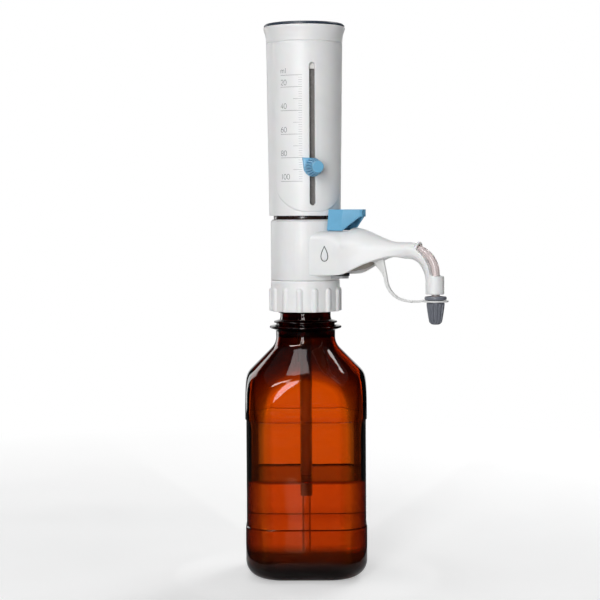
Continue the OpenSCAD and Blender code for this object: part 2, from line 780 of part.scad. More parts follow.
module slider_lug() {
    lug_x0 = guard_r + 0.4;
    lug_x1 = sleeve_in - 0.7;
    shank_half = slot_w / 2 - 0.15;
    color("dimgray") at_slot() difference() {
        union() {
            translate([lug_x0, -4.5, slider_z - lug_h / 2]) cube([lug_x1 - lug_x0, 9, lug_h]);
            translate([lug_x1 - eps, -shank_half, slider_z - 3])
                cube([plate_in - lug_x1 - 0.1, 2 * shank_half, 6]);
        }
        rod_x(screw_r + run, lug_x0 - 1, plate_in + 1, slider_z);
    }
}

// Teardrop outline of the pointer about the knob's axis, tip up to the scale
module teardrop() {
    tip = [-8.4, 7.7];
    far = norm(tip);
    lean = atan2(tip[1], tip[0]);
    spread = acos(disc_r / far);
    circle(r = disc_r);
    polygon([tip,
        (disc_r - 0.1) * [cos(lean + spread), sin(lean + spread)],
        (disc_r - 0.1) * [cos(lean - spread), sin(lean - spread)]]);
}

module pointer() {
    color("skyblue") difference() {
        intersection() {
            at_slot() translate([5, 0, slider_z]) rotate([90, 0, 90]) linear_extrude(60) teardrop();
            ring(plate_out, plate_in, slider_z - 12, slider_z + 12);
        }
        at_slot() rod_x(screw_r + run, 0, 60, slider_z);
    }
}

module clamp_knob() {
    x0 = plate_out + 0.1;
    x1 = plate_out + knob_len;
    ribs = 16;
    color("skyblue") at_slot() {
        translate([0, 0, slider_z]) rotate([0, 90, 0]) rotate_extrude() polygon([
            [0, x0], [disc_r - 0.9, x0], [disc_r - 0.7, x0 + 1.2], [knob_face_r + 1, x1 - 4],
            [knob_face_r, x1 - 3], [knob_face_r, x1 - 0.5], [knob_face_r - 0.5, x1], [0, x1]]);
        rod_x(screw_r, guard_r + 1, x0 + 1, slider_z);
        for (i = [0:ribs - 1]) translate([0, 0, slider_z]) rotate([i * 360 / ribs, 0, 0])
            across(0.6) polygon([
                [x0, 3], [x0, disc_r - 0.1], [x0 + 1.2, disc_r - 0.1],
                [x1 - 4.2, knob_face_r + 1.5], [x1 - 4.2, 3]]);
    }
}

bottle();
neck_washer();
collar();
valve_block();
block_housing();
filling_valve();
dip_tube_upper();
return_tube();
discharge_valve();
discharge_spring();
tube_flange();
union_nut();
discharge_tube();
arm_shell();
cap_strap();
cylinder_seal();
glass_cylinder();
guard_tube();
stop_ring();
inlet_ball();
discharge_ball();
dip_tube_lower();
vent_filter();
vent_tab();
valve_ring();
port_shutter();
recirc_lever();
tube_cap();
strap_ring();
sleeve();
scale_panel();
top_cap();
top_disc();
piston_rod();
piston();
piston_ring();
rod_nut();
slider_lug();
pointer();
clamp_knob();
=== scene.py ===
import bpy, bmesh
from math import acos, asin, atan2, copysign, cos, exp, hypot, pi as PI, radians, sin, sqrt, tan
from mathutils import Vector, Matrix


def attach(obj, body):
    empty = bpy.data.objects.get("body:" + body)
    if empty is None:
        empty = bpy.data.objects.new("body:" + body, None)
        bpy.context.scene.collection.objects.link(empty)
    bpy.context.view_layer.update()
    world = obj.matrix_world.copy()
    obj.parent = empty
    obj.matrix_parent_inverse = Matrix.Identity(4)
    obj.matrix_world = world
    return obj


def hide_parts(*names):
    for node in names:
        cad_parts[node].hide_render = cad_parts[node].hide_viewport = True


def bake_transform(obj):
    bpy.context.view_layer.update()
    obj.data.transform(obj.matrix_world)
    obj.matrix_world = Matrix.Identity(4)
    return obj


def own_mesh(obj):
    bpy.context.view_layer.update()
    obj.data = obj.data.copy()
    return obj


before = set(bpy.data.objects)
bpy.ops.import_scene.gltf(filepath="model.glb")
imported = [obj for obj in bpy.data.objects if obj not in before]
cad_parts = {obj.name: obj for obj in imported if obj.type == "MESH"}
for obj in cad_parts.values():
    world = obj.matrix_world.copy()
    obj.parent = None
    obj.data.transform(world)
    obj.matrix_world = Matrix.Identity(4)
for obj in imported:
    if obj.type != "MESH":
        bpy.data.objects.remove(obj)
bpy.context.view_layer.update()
scene = bpy.context.scene
MM = 0.001
TAU = 2 * PI


# ---- sizes, in mm, as the CAD has them
# Heights are those over a bottle 222 mm high. The bottle is LIFT higher than that: its walls are
# drawn out over LIFT_OVER, and whatever stands above them is moved up by LIFT as its mesh is made.

LIFT = 7.5
LIFT_OVER = (16.0, 33.5)
HALF_W = 49.25
CORNER = 24.5
TURN = radians(30)
GLASS = 3.8
THICK_CORNER = 5.0
SLOPE = radians(45)
DOME_ARC = 47.5
FILLET = 13.0
DOME_R = (HALF_W - CORNER) * sqrt(2) + CORNER + 0.2
NECK_R = 24.3
NECK_FOOT = 188.0
BOW = 1 - cos(SLOPE)
CONE_DROP = (DOME_R - DOME_ARC * BOW - NECK_R - FILLET * BOW) / tan(SLOPE)
DOME_FOOT = NECK_FOOT - FILLET * sin(SLOPE) - CONE_DROP - DOME_ARC * sin(SLOPE)
LABEL_FOOT, LABEL_TOP, LABEL_D = 36.0, DOME_FOOT - 5, 0.8
HEEL, HEEL_IN = 16.0, 12.0
LIQUID_Z = 74.0
FLOOR_Z = 4.2
PUNT_R, PUNT_H, KNURL_H, KNURLS = 31.0, 3.2, 0.45, 72
RING_R, RIM_R, MOUTH_R, RIM_Z = 29.55, 20.7, 15.0, 222.0
THREAD_Z, PITCH, TURNS, THREAD_H = 206.3, 4.0, 2.35, 1.65


# ---- mesh helpers

def add_object(name, data):
    ob = bpy.data.objects.new(name, data)
    scene.collection.objects.link(ob)
    return ob


def raised(point):
    """A point in mm on the dispenser, in metres and at its height over the bottle."""
    return (Vector(point) + Vector((0, 0, LIFT))) * MM


def piece(name, verts, faces, body, mat, node="", slot=None, sharp=35):
    """A mesh from points in mm, riding on a body, and standing for the CAD nodes that node names."""
    me = bpy.data.meshes.new(name)
    me.from_pydata([Vector(v) * MM if body == "bottle" else raised(v) for v in verts], [], faces)
    me.validate()
    ob = add_object(name, me)
    me.materials.append(mat)
    me.shade_smooth()
    if sharp is not None:
        me.set_sharp_from_angle(angle=radians(sharp))
    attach(ob, body)
    for n in node.split():
        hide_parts(n)
    return ob


def bearings(n):
    """Even angles round a circle."""
    return [TAU * j / n for j in range(n)]


def placed(x, z, points):
    """The points, which are given from (x, z)."""
    return [(x + u, z + v) for u, v in points]


QUARTER = [radians(q) for q in (30, 60, 90)]


def hoop(centre, u, v, n):
    """A closed loop of n points round centre, in the plane of u and v."""
    return [tuple(centre + u * cos(t) + v * sin(t)) for t in bearings(n)]


def spread(a, *rest):
    """Places in even steps, given as place, step, place, step, place. The last place is left out."""
    out = []
    for step, b in zip(rest[::2], rest[1::2]):
        n = max(1, round(abs(b - a) / step))
        out += [a + (b - a) * i / n for i in range(n)]
        a = b
    return out


def grid_faces(rows, cols):
    """Quads between rows that follow each other, each closed round its columns."""
    return [(i * cols + j, i * cols + (j + 1) % cols, (i + 1) * cols + (j + 1) % cols, (i + 1) * cols + j)
            for i in range(rows - 1) for j in range(cols)]


def rounded(points, radius, steps=4, closed=False):
    """The line with each corner turned into an arc. radius is one number or one for each point."""
    n = len(points)
    out = []
    for i, p in enumerate(points):
        r = radius[i] if isinstance(radius, (list, tuple)) else radius
        a, b = Vector(points[i - 1]) - Vector(p), Vector(points[(i + 1) % n]) - Vector(p)
        la, lb = a.length, b.length
        keep = r <= 0 or (not closed and i in (0, n - 1)) or min(la, lb) < 1e-9
        if not keep:
            a, b = a / la, b / lb
            half = acos(max(-1, min(1, a.dot(b)))) / 2
        if keep or half > PI / 2 - 0.03:
            out.append(tuple(p))
            continue
        cut = min(r / tan(half), 0.48 * la, 0.48 * lb)
        centre = Vector(p) + (a + b).normalized() * (cut * tan(half) / sin(half))
        start = Vector(p) + a * cut - centre
        end = Vector(p) + b * cut - centre
        turn = atan2(start.x * end.y - start.y * end.x, start.dot(end))
        for k in range(steps + 1):
            t = turn * k / steps
            out.append((centre.x + start.x * cos(t) - start.y * sin(t),
                        centre.y + start.x * sin(t) + start.y * cos(t)))
    return out


def turned(name, profile, radius, body, mat, node="", slot=None, seg=128, x=0.0, sharp=40):
    """A closed profile of (r, z) with rounded corners, turned about an upright axis at x."""
    outline = rounded(profile, radius, closed=True)
    verts = [(r * cos(t) + x, r * sin(t), z) for r, z in outline for t in bearings(seg)]
    last = (len(outline) - 1) * seg
    faces = grid_faces(len(outline), seg)
    faces += [(last + j, last + (j + 1) % seg, (j + 1) % seg, j) for j in range(seg)]
    piece(name, verts, faces, body, mat, node, slot, sharp)


def outward(ob):
    """Makes the normals point out."""
    bm = bmesh.new()
    bm.from_mesh(ob.data)
    bmesh.ops.recalc_face_normals(bm, faces=bm.faces)
    bm.to_mesh(ob.data)
    bm.free()
    return ob


def smooth(t):
    t = max(0.0, min(1.0, t))
    return t * t * (3 - 2 * t)


# ---- materials

class Nodes:
    """Shader nodes of one tree. A socket given as an input is linked, any other value is set."""

    def __init__(self, tree):
        self.t = tree

    def node(self, kind, **inputs):
        n = self.t.nodes.new("ShaderNode" + kind)
        for k, v in inputs.items():
            key = int(k[1:]) if k[0] == "_" else k.replace("_", " ")
            if isinstance(v, bpy.types.NodeSocket):
                self.t.links.new(v, n.inputs[key])
            else:
                n.inputs[key].default_value = v
        return n

    def ramp(self, fac, a, b, c, d):
        """Maps fac from a..b to c..d."""
        n = self.node("MapRange", Value=fac, From_Min=a, From_Max=b, To_Min=c, To_Max=d)
        return n.outputs[0]

    def math(self, op, a, b=0.0):
        n = self.node("Math", _0=a, _1=b)
        n.operation = op
        return n.outputs[0]


class Mat(Nodes):
    """A node material with a Principled shader and object coordinates, in metres."""

    def __init__(self, name, color, rough, **sockets):
        self.m = bpy.data.materials.new(name)
        self.m.use_nodes = True
        super().__init__(self.m.node_tree)
        self.bsdf = self.t.nodes["Principled BSDF"]
        self.out = self.t.nodes["Material Output"]
        for k, v in dict(Base_Color=(*color, 1), Roughness=rough, **sockets).items():
            self.bsdf.inputs[k.replace("_", " ")].default_value = v
        self.coord = self.node("TexCoord").outputs["Object"]
        self.normal = None

    def noise(self, scale, detail=3, stretch=None):
        src = self.coord
        if stretch:
            src = self.node("Mapping", Vector=src, Scale=stretch).outputs[0]
        return self.node("TexNoise", Vector=src, Scale=scale, Detail=detail, Roughness=0.55).outputs["Fac"]

    def facing(self):
        return self.node("LayerWeight", Blend=0.5).outputs["Facing"]

    def colors(self, fac, *stops):
        n = self.node("ValToRGB", Fac=fac)
        e = n.color_ramp.elements
        while len(e) < len(stops):
            e.new(0.5)
        for k, (p, c) in enumerate(stops):
            e[k].position = p
            e[k].color = (*c, 1)
        return n.outputs[0]

    def multiply(self, a, b):
        n = self.node("Mix", Factor=1.0, _6=a, _7=b)
        n.data_type, n.blend_type = "RGBA", "MULTIPLY"
        return n.outputs[2]

    def tint(self, spread=0.04, scale=90):
        """Slight unevenness of the base colour."""
        c = Vector(self.bsdf.inputs["Base Color"].default_value[:3])
        lo, hi = c * (1 - spread), c * (1 + spread)
        self.color(self.colors(self.noise(scale, 4), (0.3, lo), (0.7, hi)))
        return self

    def color(self, socket):
        self.t.links.new(socket, self.bsdf.inputs["Base Color"])

    def vary(self, lo, hi, scale=400):
        """Roughness that wanders between lo and hi."""
        self.t.links.new(self.ramp(self.noise(scale, 3), 0.3, 0.7, lo, hi), self.bsdf.inputs["Roughness"])

    def bump(self, height, depth):
        """Adds a bump. depth is in metres."""
        n = self.node("Bump", Height=height, Strength=1.0, Distance=depth)
        if self.normal is not None:
            self.t.links.new(self.normal, n.inputs["Normal"])
        self.normal = n.outputs[0]
        self.t.links.new(self.normal, self.bsdf.inputs["Normal"])


def moulded(name, color, rough, grain=0.00001, spread=0.02, **sockets):
    """Injection-moulded plastic: fine satin grain, slight flow marks, uneven gloss."""
    m = Mat(name, color, rough, **sockets)
    m.tint(spread, 60)
    m.vary(rough * 0.85, rough * 1.2, 250)
    m.bump(m.noise(2600, 2), grain)
    m.bump(m.noise(70, 2), grain * 6)
    return m.m


def clear(name, rough, ior, sigma=None, **sockets):
    """A clear solid. sigma is what it takes out of the light, per metre, in red, green and blue."""
    m = Mat(name, (1, 1, 1), rough, Transmission_Weight=1.0, IOR=ior, **sockets)
    if sigma:
        most = max(sigma) * 1.01
        v = m.node("VolumeAbsorption", Density=most, Color=(*[1 - s / most for s in sigma], 1))
        m.t.links.new(v.outputs[0], m.out.inputs["Volume"])
    return m


shell = moulded("shell", (0.88, 0.88, 0.88), 0.4, Subsurface_Weight=0.06, Subsurface_Scale=0.002)
core = moulded("core", (0.78, 0.77, 0.74), 0.42)
seal = moulded("seal", (0.80, 0.80, 0.79), 0.5)
blue = moulded("blue", (0.17, 0.46, 0.70), 0.32, spread=0.05)
navy = moulded("navy", (0.035, 0.05, 0.075), 0.3, spread=0.1)
slate = moulded("slate", (0.17, 0.18, 0.21), 0.32, spread=0.06)
taupe = moulded("taupe", (0.36, 0.32, 0.275), 0.45, spread=0.06)
brown = moulded("brown", (0.25, 0.235, 0.225), 0.25, spread=0.1)
dark = moulded("dark", (0.022, 0.011, 0.008), 0.2, spread=0.1)
black = moulded("black", (0.012, 0.012, 0.012), 0.5, spread=0.15)
grey = moulded("grey", (0.46, 0.46, 0.48), 0.4)
ceramic = moulded("ceramic", (0.83, 0.83, 0.80), 0.12, grain=0.000002)
ink = Mat("ink", (0.2, 0.2, 0.21), 0.45).tint(0.1, 900).m
print_black = Mat("print_black", (0.05, 0.05, 0.05), 0.45).tint(0.1, 900).m

steel = Mat("steel", (0.62, 0.62, 0.61), 0.25, Metallic=1.0)
steel.bump(steel.noise(900, 2, stretch=(1, 1, 14)), 0.00001)
steel.vary(0.2, 0.34, 500)
steel = steel.m

tube = moulded("tube", (0.62, 0.60, 0.57), 0.2, Transmission_Weight=0.6, IOR=1.38)
pink = moulded("pink_tube", (0.86, 0.76, 0.75), 0.18, Transmission_Weight=0.35, IOR=1.38, Coat_Weight=0.4)
strap = moulded("strap", (0.82, 0.82, 0.81), 0.3, Transmission_Weight=0.06, IOR=1.4)


def see_through(name, rough, ior, sigma, scale, depth, *stops):
    """A clear solid with gentle waves. stops are its colours from face on to grazing; their dark grazing
    colours are painted shade at the edges.
    """
    m = clear(name, rough, ior, sigma)
    if stops:
        m.color(m.colors(m.facing(), *stops))
    m.bump(m.noise(scale, 1), depth)
    return m.m


# the water darkens towards grazing angles: painted shade at its edges
water = see_through("water", 0.0, 1.33, (1, 4, 9), 60, 0.00002, (0.6, (1, 1, 1)), (0.82, (0.12, 0.08, 0.06)))
# the lower dip tube goes dark towards grazing angles: painted shade along its outlines
tube_low = see_through("tube_low", 0.02, 1.05, None, 300, 0.00001, (0.3, (0.92, 0.9, 0.88)),
                       (0.5, (0.2, 0.16, 0.14)), (0.65, (0.03, 0.02, 0.02)))
glass = see_through("clear_glass", 0.0, 1.47, (4, 2, 3), 60, 0.00001)


def amber_glass():
    """Amber glass whose colour carries painted shade: it is darker at grazing angles, up the neck and in the
    foot.
    """
    m = clear("amber", 0.0, 1.5, (75, 370, 1000), Specular_Tint=(0.5, 0.5, 0.5, 1))
    height = m.node("SeparateXYZ", Vector=m.coord).outputs["Z"]
    # painted shade at grazing angles, for the dark edges of thick curved glass, with less of it near the base
    grazing = m.math("MULTIPLY", m.facing(), m.ramp(height, 0.006, 0.024, 0.35, 1))
    edge = m.colors(grazing, (0.01, (1, 1, 1)), (0.018, (0.84, 0.8, 0.78)), (0.03, (0.66, 0.58, 0.54)),
                    (0.06, (0.55, 0.46, 0.4)), (0.11, (0.46, 0.34, 0.28)), (0.2, (0.38, 0.26, 0.2)),
                    (0.34, (0.27, 0.17, 0.13)), (0.55, (0.12, 0.06, 0.04)), (0.8, (0.02, 0.01, 0.01)))
    # painted shade up the neck, where the collar shades it and its thick glass looks dark
    neck = m.colors(m.ramp(height, 0.1575, 0.1995, 0, 1), (0, (1, 1, 1)), (1, (0.2, 0.12, 0.11)))
    # painted shade in the foot: a bluish dark band at the base
    foot = m.colors(m.ramp(height, 0.010, 0.018, 0, 1), (0, (0.1, 0.13, 0.2)), (1, (1, 1, 1)))
    m.color(m.multiply(edge, m.multiply(neck, foot)))
    m.bump(m.noise(22, 2), 0.0004)
    m.bump(m.noise(140, 2, stretch=(1, 1, 0.3)), 0.00003)
    return m.m


amber = amber_glass()


# ---- studio

# Seen straight, the world is white. In reflections and through glass it fades to dark overhead.
world = bpy.data.worlds.new("studio")
scene.world = world
world.use_nodes = True
world.node_tree.nodes.clear()
sky = Nodes(world.node_tree)
rays = sky.node("LightPath").outputs
up = sky.node("SeparateXYZ", Vector=sky.node("TexCoord").outputs["Generated"]).outputs["Z"]
bounced = sky.math("MAXIMUM", rays["Is Glossy Ray"], rays["Is Transmission Ray"])
horizon = sky.math("MULTIPLY", bounced, sky.ramp(up, 0.2, 0.55, 1.0, 0.0))
seen = sky.math("MAXIMUM", rays["Is Camera Ray"], horizon)
lit = sky.node("Background", Color=(0.96, 0.98, 1, 1), Strength=0.1)
white = sky.node("Background", Color=(1, 1, 1, 1), Strength=1.0)
both = sky.node("MixShader", Fac=seen, _1=lit.outputs[0], _2=white.outputs[0])
sky.node("OutputWorld", Surface=both.outputs[0])

FLOOR_SIDE = 9.0
SQUARE = ((0, 0), (1, 0), (1, 1), (0, 1))
VIEW_AZ = radians(30)


def stage_mesh(name, verts, faces, mat):
    me = bpy.data.meshes.new(name)
    me.from_pydata(verts, [], faces)
    me.materials.append(mat)
    ob = add_object(name, me)
    return ob


def reflected_only(ob):
    ob.visible_camera = ob.visible_transmission = ob.visible_diffuse = ob.visible_shadow = False


# The floor keeps a shadow near the object, fades to the world's white, and is bright in reflections far off.
fm = Mat("floor", (0.7, 0.7, 0.7), 0.6)
far = fm.node("VectorMath", _0=fm.coord)
far.operation = "LENGTH"
fade = fm.ramp(far.outputs["Value"], 0.3, 0.9, 0, 1)
glow = fm.node("Emission", Color=(1, 1, 1, 1), Strength=1.0)
rays = fm.node("LightPath").outputs
sight = fm.math("MAXIMUM", rays["Is Camera Ray"], rays["Is Transmission Ray"])
lift = fm.node("Emission", Color=(1, 1, 1, 1), Strength=fm.math("MULTIPLY", sight, 0.4))
near = fm.node("AddShader", _0=fm.bsdf.outputs[0], _1=lift.outputs[0])
shine = fm.math("MULTIPLY", rays["Is Glossy Ray"], fm.ramp(far.outputs["Value"], 1.2, 3.0, 0, 1))
seen_floor = fm.math("MAXIMUM", fm.math("MULTIPLY", fade, sight), shine)
mixed = fm.node("MixShader", Fac=seen_floor, _1=near.outputs[0], _2=glow.outputs[0])
fm.t.links.new(mixed.outputs[0], fm.out.inputs["Surface"])
fm.vary(0.5, 0.7, 8)
verts = [((2 * i - 1) * FLOOR_SIDE, (2 * j - 1) * FLOOR_SIDE, 0) for i, j in SQUARE]
stage_mesh("floor", verts, [(0, 1, 2, 3)], fm.m)


def lamp(name, bearing, height, dist, size, power, aim=0.25, tall=None):
    """A softbox. bearing is in degrees to the right of the camera, seen from the object."""
    data = bpy.data.lights.new(name, "AREA")
    data.shape = "RECTANGLE"
    data.size = size
    data.size_y = tall or size
    data.energy = power
    a = VIEW_AZ + radians(bearing)
    ob = add_object(name, data)
    ob.location = (dist * sin(a), -dist * cos(a), height)
    ob.rotation_euler = (Vector((0, 0, aim)) - ob.location).to_track_quat("-Z", "Y").to_euler()
    ob.visible_camera = False
    return ob


# a dark card round the object and a warm strip in front of it, which only reflections see
CARD_RING = ((0.11, 0.003), (3.2, 0.02), (3.2, 3.0))
verts, faces = [], []
for k in range(25):
    a = VIEW_AZ + radians(-162 + 324 * k / 24)
    verts += [(r * sin(a), -r * cos(a), z) for r, z in CARD_RING]
    if k:
        faces += [(3 * k - 3 + i, 3 * k + i, 3 * k + i + 1, 3 * k + i - 2) for i in (0, 1)]
reflected_only(stage_mesh("card", verts, faces, Mat("card_cloth", (0.02, 0.02, 0.02), 0.9).tint(0.2, 8).m))

STRIP_X, STRIP_Y, STRIP_Z = (-0.018, -0.001), (0.135, 0.48), 0.008
across = Vector((cos(VIEW_AZ), sin(VIEW_AZ), 0))
along = Vector((sin(VIEW_AZ), -cos(VIEW_AZ), 0))
verts = [across * STRIP_X[i] + along * STRIP_Y[j] + Vector((0, 0, STRIP_Z)) for i, j in SQUARE]
warm = Mat("strip_light", (0.8, 0.8, 0.8), 0.9, Emission_Color=(1, 0.35, 0.03, 1), Emission_Strength=0.8)
reflected_only(stage_mesh("strip", verts, [(0, 1, 2, 3)], warm.tint(0.05, 8).m))

lamp("key", -12, 0.58, 1.5, 0.36, 15, tall=1.0)
lamp("high_left", -46, 1.35, 1.2, 1.1, 15, aim=0.15, tall=0.24).visible_diffuse = False
lamp("high_right", 128, 1.3, 0.9, 0.35, 2.2, aim=0.17, tall=0.22)
lamp("rim_right", 150, 0.6, 1.2, 0.4, 8, tall=1.0).visible_glossy = False
lamp("rim_left", -140, 0.45, 1.4, 0.4, 3.5, tall=1.0)
lamp("top", -60, 1.8, 0.3, 0.6, 5, aim=0.2)

cam_data = bpy.data.cameras.new("camera")
cam = add_object("camera", cam_data)
scene.camera = cam
cam_data.sensor_width = 36
cam_data.lens = 98.3
cam_data.clip_start, cam_data.clip_end = 0.05, 50
EYE, EYE_Z = 1.344, 0.3031
PAN, DOWN, ROLL = radians(0.192), radians(90 - 3.317), radians(-0.3)
cam.location = (EYE * sin(VIEW_AZ), -EYE * cos(VIEW_AZ), EYE_Z)
turn = Matrix.Rotation(VIEW_AZ + PAN, 4, "Z") @ Matrix.Rotation(DOWN, 4, "X")
cam.rotation_euler = (turn @ Matrix.Rotation(ROLL, 4, "Z")).to_euler()
scene.view_settings.view_transform = "Standard"


# ---- bottle and what is in it

N_BOTTLE = 288
THETA = bearings(N_BOTTLE)


def square_r(t, w, c):
    """Distance from the axis to a rounded square's edge, at bearing t."""
    ux, uy = abs(cos(t)), abs(sin(t))
    big, small = max(ux, uy), min(ux, uy)
    if w * small / big <= w - c:
        return w / big
    k = w - c
    uc = (ux + uy) * k
    return uc + sqrt(max(0.0, uc * uc - 2 * k * k + c * c))


def smin(a, b, k):
    if k <= 0:
        return min(a, b)
    h = max(k - abs(a - b), 0.0) / k
    return min(a, b) - h * h * k / 4


def dome(z, inset):
    """Radius of the shoulder at height z, and so far in from its outside."""
    if z <= DOME_FOOT:
        return DOME_R - inset
    lean = sin(SLOPE)
    big, small = DOME_ARC - inset, FILLET + inset
    top, foot = NECK_FOOT - small * lean, DOME_FOOT + big * lean
    if z <= foot:
        return DOME_R - DOME_ARC + sqrt(big ** 2 - (z - DOME_FOOT) ** 2)
    top_r = NECK_R + FILLET - small * cos(SLOPE)
    foot_r = DOME_R - DOME_ARC + big * cos(SLOPE)
    if z <= top:
        return foot_r + (top_r - foot_r) * (z - foot) / (top - foot)
    if z <= NECK_FOOT:
        return NECK_R + FILLET - sqrt(small ** 2 - (NECK_FOOT - z) ** 2)
    return NECK_R - inset


def body_r(t, z, inside=False):
    """Radius of the square body with its label recess, heel and shoulder."""
    fade = 5.0 if inside else 0.6
    deep = smooth((z - LABEL_FOOT + fade) / (2 * fade)) * smooth((LABEL_TOP + fade - z) / (2 * fade))
    w, c = HALF_W - deep * LABEL_D, CORNER - deep * LABEL_D
    foot, heel = 0.0, HEEL
    if inside:
        w, c = w - GLASS, c - GLASS - THICK_CORNER
        foot, heel = FLOOR_Z, HEEL_IN
    if z < foot + heel:
        cut = heel - sqrt(max(0.0, heel * heel - (foot + heel - z) ** 2))
        w, c = w - cut, c - 0.45 * cut
    return smin(square_r(t, w, c), dome(z, 3.0 if inside else 0.0), 4.5 * smooth((z - 116) / 22))


def lifted(z):
    """Height on the bottle once its walls are drawn out."""
    low, high = LIFT_OVER
    return z + LIFT * max(0.0, min(1.0, (z - low) / (high - low)))


def ring_row(radius, z):
    """One row of the bottle. radius and z are numbers or functions of the bearing."""
    out = []
    for t in THETA:
        r = radius(t) if callable(radius) else radius
        h = lifted(z(t, r) if callable(z) else z)
        out.append((r * cos(t + TURN), r * sin(t + TURN), h))
    return out


def thread_r(t, z):
    """Neck with a helical thread of two turns and a bit."""
    best = 0.0
    for k in range(3):
        turns = k + t / TAU
        fade = smooth(turns / 0.12) * smooth((TURNS - turns) / 0.12)
        d = abs(z - (THREAD_Z + PITCH * turns))
        best = max(best, fade * smooth((1.35 - d) / 0.75))
    return RIM_R + THREAD_H * best


def bottle_rows():
    # punt, contact ring with its fine knurl, heel
    shares = (0.06, 0.2, 0.4, 0.6, 0.8, 0.93, 1.0)
    rows = [ring_row(PUNT_R * f, PUNT_H * (1 - f ** 3) + KNURL_H) for f in shares]

    def knurl(depth):
        return lambda t, r: KNURL_H * (1 - depth * (0.5 + 0.5 * cos(KNURLS * t)))

    rows.append(ring_row(PUNT_R + 0.6, knurl(0.8)))
    for out, corner, depth in ((0.6, 0.45, 1.0), (2.2, 0.4, 0.9)):
        w, c = HALF_W - HEEL + out, CORNER - corner * HEEL
        rows.append(ring_row(lambda t: square_r(t, w, c), knurl(depth)))
    rows.append(ring_row(lambda t: body_r(t, 0.75) - 0.1, 0.75))
    for z in [1.1, 1.6, 2.3] + spread(3.2, 0.9, HEEL, 2.6, LABEL_FOOT - 1.5, 0.25, LABEL_FOOT + 1.5, 4,
                                      LABEL_TOP - 1.5, 0.25, LABEL_TOP + 1.5, 1.1, NECK_FOOT):
        rows.append(ring_row(lambda t: body_r(t, z), z))
    neck = rounded([(NECK_R, NECK_FOOT), (NECK_R, 193.5), (RING_R, 195.2), (RING_R, 196.8), (23.9, 197.8),
                    (24.2, 199.2), (26, 199.4), (26, 200.7), (21.3, 202), (20.75, 204)],
                   [0, 1.2, 0.8, 0.8, 0.7, 0.3, 0.6, 0.6, 0.8, 0])
    rows += [ring_row(r, z) for r, z in neck]
    rows += [ring_row(lambda t: thread_r(t, z), z) for z in spread(204.4, 0.35, 218.4)]
    lip = rounded([(RIM_R, 218.4), (RIM_R, RIM_Z), (MOUTH_R, RIM_Z), (MOUTH_R, 199.6)],
                  [0, 0.9, 0.9, 0], 5)
    rows += [ring_row(r, z) for r, z in lip]
    inner = rounded([(MOUTH_R, 199.6), (MOUTH_R, 198), (18, 194), (21.3, NECK_FOOT)], [0, 3, 4, 0], 5)
    rows += [ring_row(r, z) for r, z in inner[1:-1]]
    for z in spread(NECK_FOOT, 1.2, 128, 4, 17, 0.8, FLOOR_Z + 0.7) + [FLOOR_Z + 0.4, FLOOR_Z + 0.15]:
        rows.append(ring_row(lambda t: body_r(t, z, True), z))
    return rows + floor_rows((0.93, 0.8, 0.6, 0.4, 0.2, 0.06), 0)


def floor_rows(shares, down):
    """Rows of the domed floor inside, each a share of its whole width, lowered by down."""
    return [ring_row(lambda t: body_r(t, FLOOR_Z + 0.15, True) * f, FLOOR_Z + 1.5 * (1 - f * f) - down)
            for f in shares]


def closed_rows(name, rows, body, mat, **kw):
    """A closed skin through rows of equal length, whose first and last rows close to their middle."""
    cols = len(rows[0])
    verts = [p for row in rows for p in row]
    faces = grid_faces(len(rows), cols)
    for row, turn in ((0, 1), (len(rows) - 1, -1)):
        mid = tuple(sum(p[k] for p in rows[row]) / cols for k in range(3))
        verts.append(mid)
        for j in range(cols):
            tri = (row * cols + j, len(verts) - 1, row * cols + (j + 1) % cols)
            faces.append(tri[::turn])
    outward(piece(name, verts, faces, body, mat, **kw))


closed_rows("bottle_glass", bottle_rows(), "bottle", amber, node="bottle", slot="amber_glass", sharp=60)


def liquid_rows():
    grow, rise = 0.12, 1.1

    def edge(t, z):
        return body_r(t, z, True) + grow

    rows = floor_rows((0.06, 0.2, 0.4, 0.6, 0.8, 0.93), grow)
    top = LIQUID_Z + rise
    for z in [FLOOR_Z + 0.3, FLOOR_Z + 0.6] + spread(FLOOR_Z + 1, 0.8, 17, 3, top) + [top]:
        rows.append(ring_row(lambda t: edge(t, z), z))
    for d in (0.25, 0.5, 0.9, 1.4, 2.0, 2.8, 4.0, 6.0):
        rows.append(ring_row(lambda t: edge(t, LIQUID_Z) - d, LIQUID_Z + rise * exp(-d)))
    return rows + [ring_row(lambda t: edge(t, LIQUID_Z) * f, LIQUID_Z) for f in (0.75, 0.5, 0.25, 0.08)]


closed_rows("liquid", liquid_rows(), "bottle", water, sharp=None)


# ---- shared places on the dispenser, in mm

ML = 1000 / (PI * 18.4 ** 2)
BLOCK_TOP, BLOCK_R = 283.9, 28.1
SLEEVE_Z = 287.0
SLEEVE_IN, SLEEVE_R, SLEEVE_TOP_R, PANEL_R = 27.0, 29.2, 31.0, 30.3
STOP_Z = BLOCK_TOP + 100 * ML + 26.6
SLEEVE_TOP = STOP_Z + 22.3
LID_Z = SLEEVE_TOP + 12.8
TOP_Z = LID_Z + 2.4
SLOT = radians(-48)
SLOT_FOOT, SLOT_TOP, SLOT_HALF = 295.4, STOP_Z + 4.7, 2.4
SLOT_LOW, SLOT_HIGH = SLOT_FOOT + SLOT_HALF, SLOT_TOP - SLOT_HALF
PANEL_FOOT, PANEL_CORNER = 290.2, 22.6
PANEL_EDGE = PANEL_R * sin(radians(66))
SLIDER_Z = STOP_Z - 80 * ML - 3.6
ARM_Z = 258.5
REACH = 118.0
BEND_X, BEND_Z, BEND_R, NOZZLE_R = 94.4, 235.5, 23.0, 7.3
CAP_TOP, CAP_FOOT, RING_Z, EYE_R = 223.5, 201.3, 218.9, 10.2


def on_panel(s, z, r=PANEL_R):
    """A point s mm round the sleeve from the slot's middle, s measured on the panel."""
    a = SLOT + s / PANEL_R
    return r * cos(a), r * sin(a), z


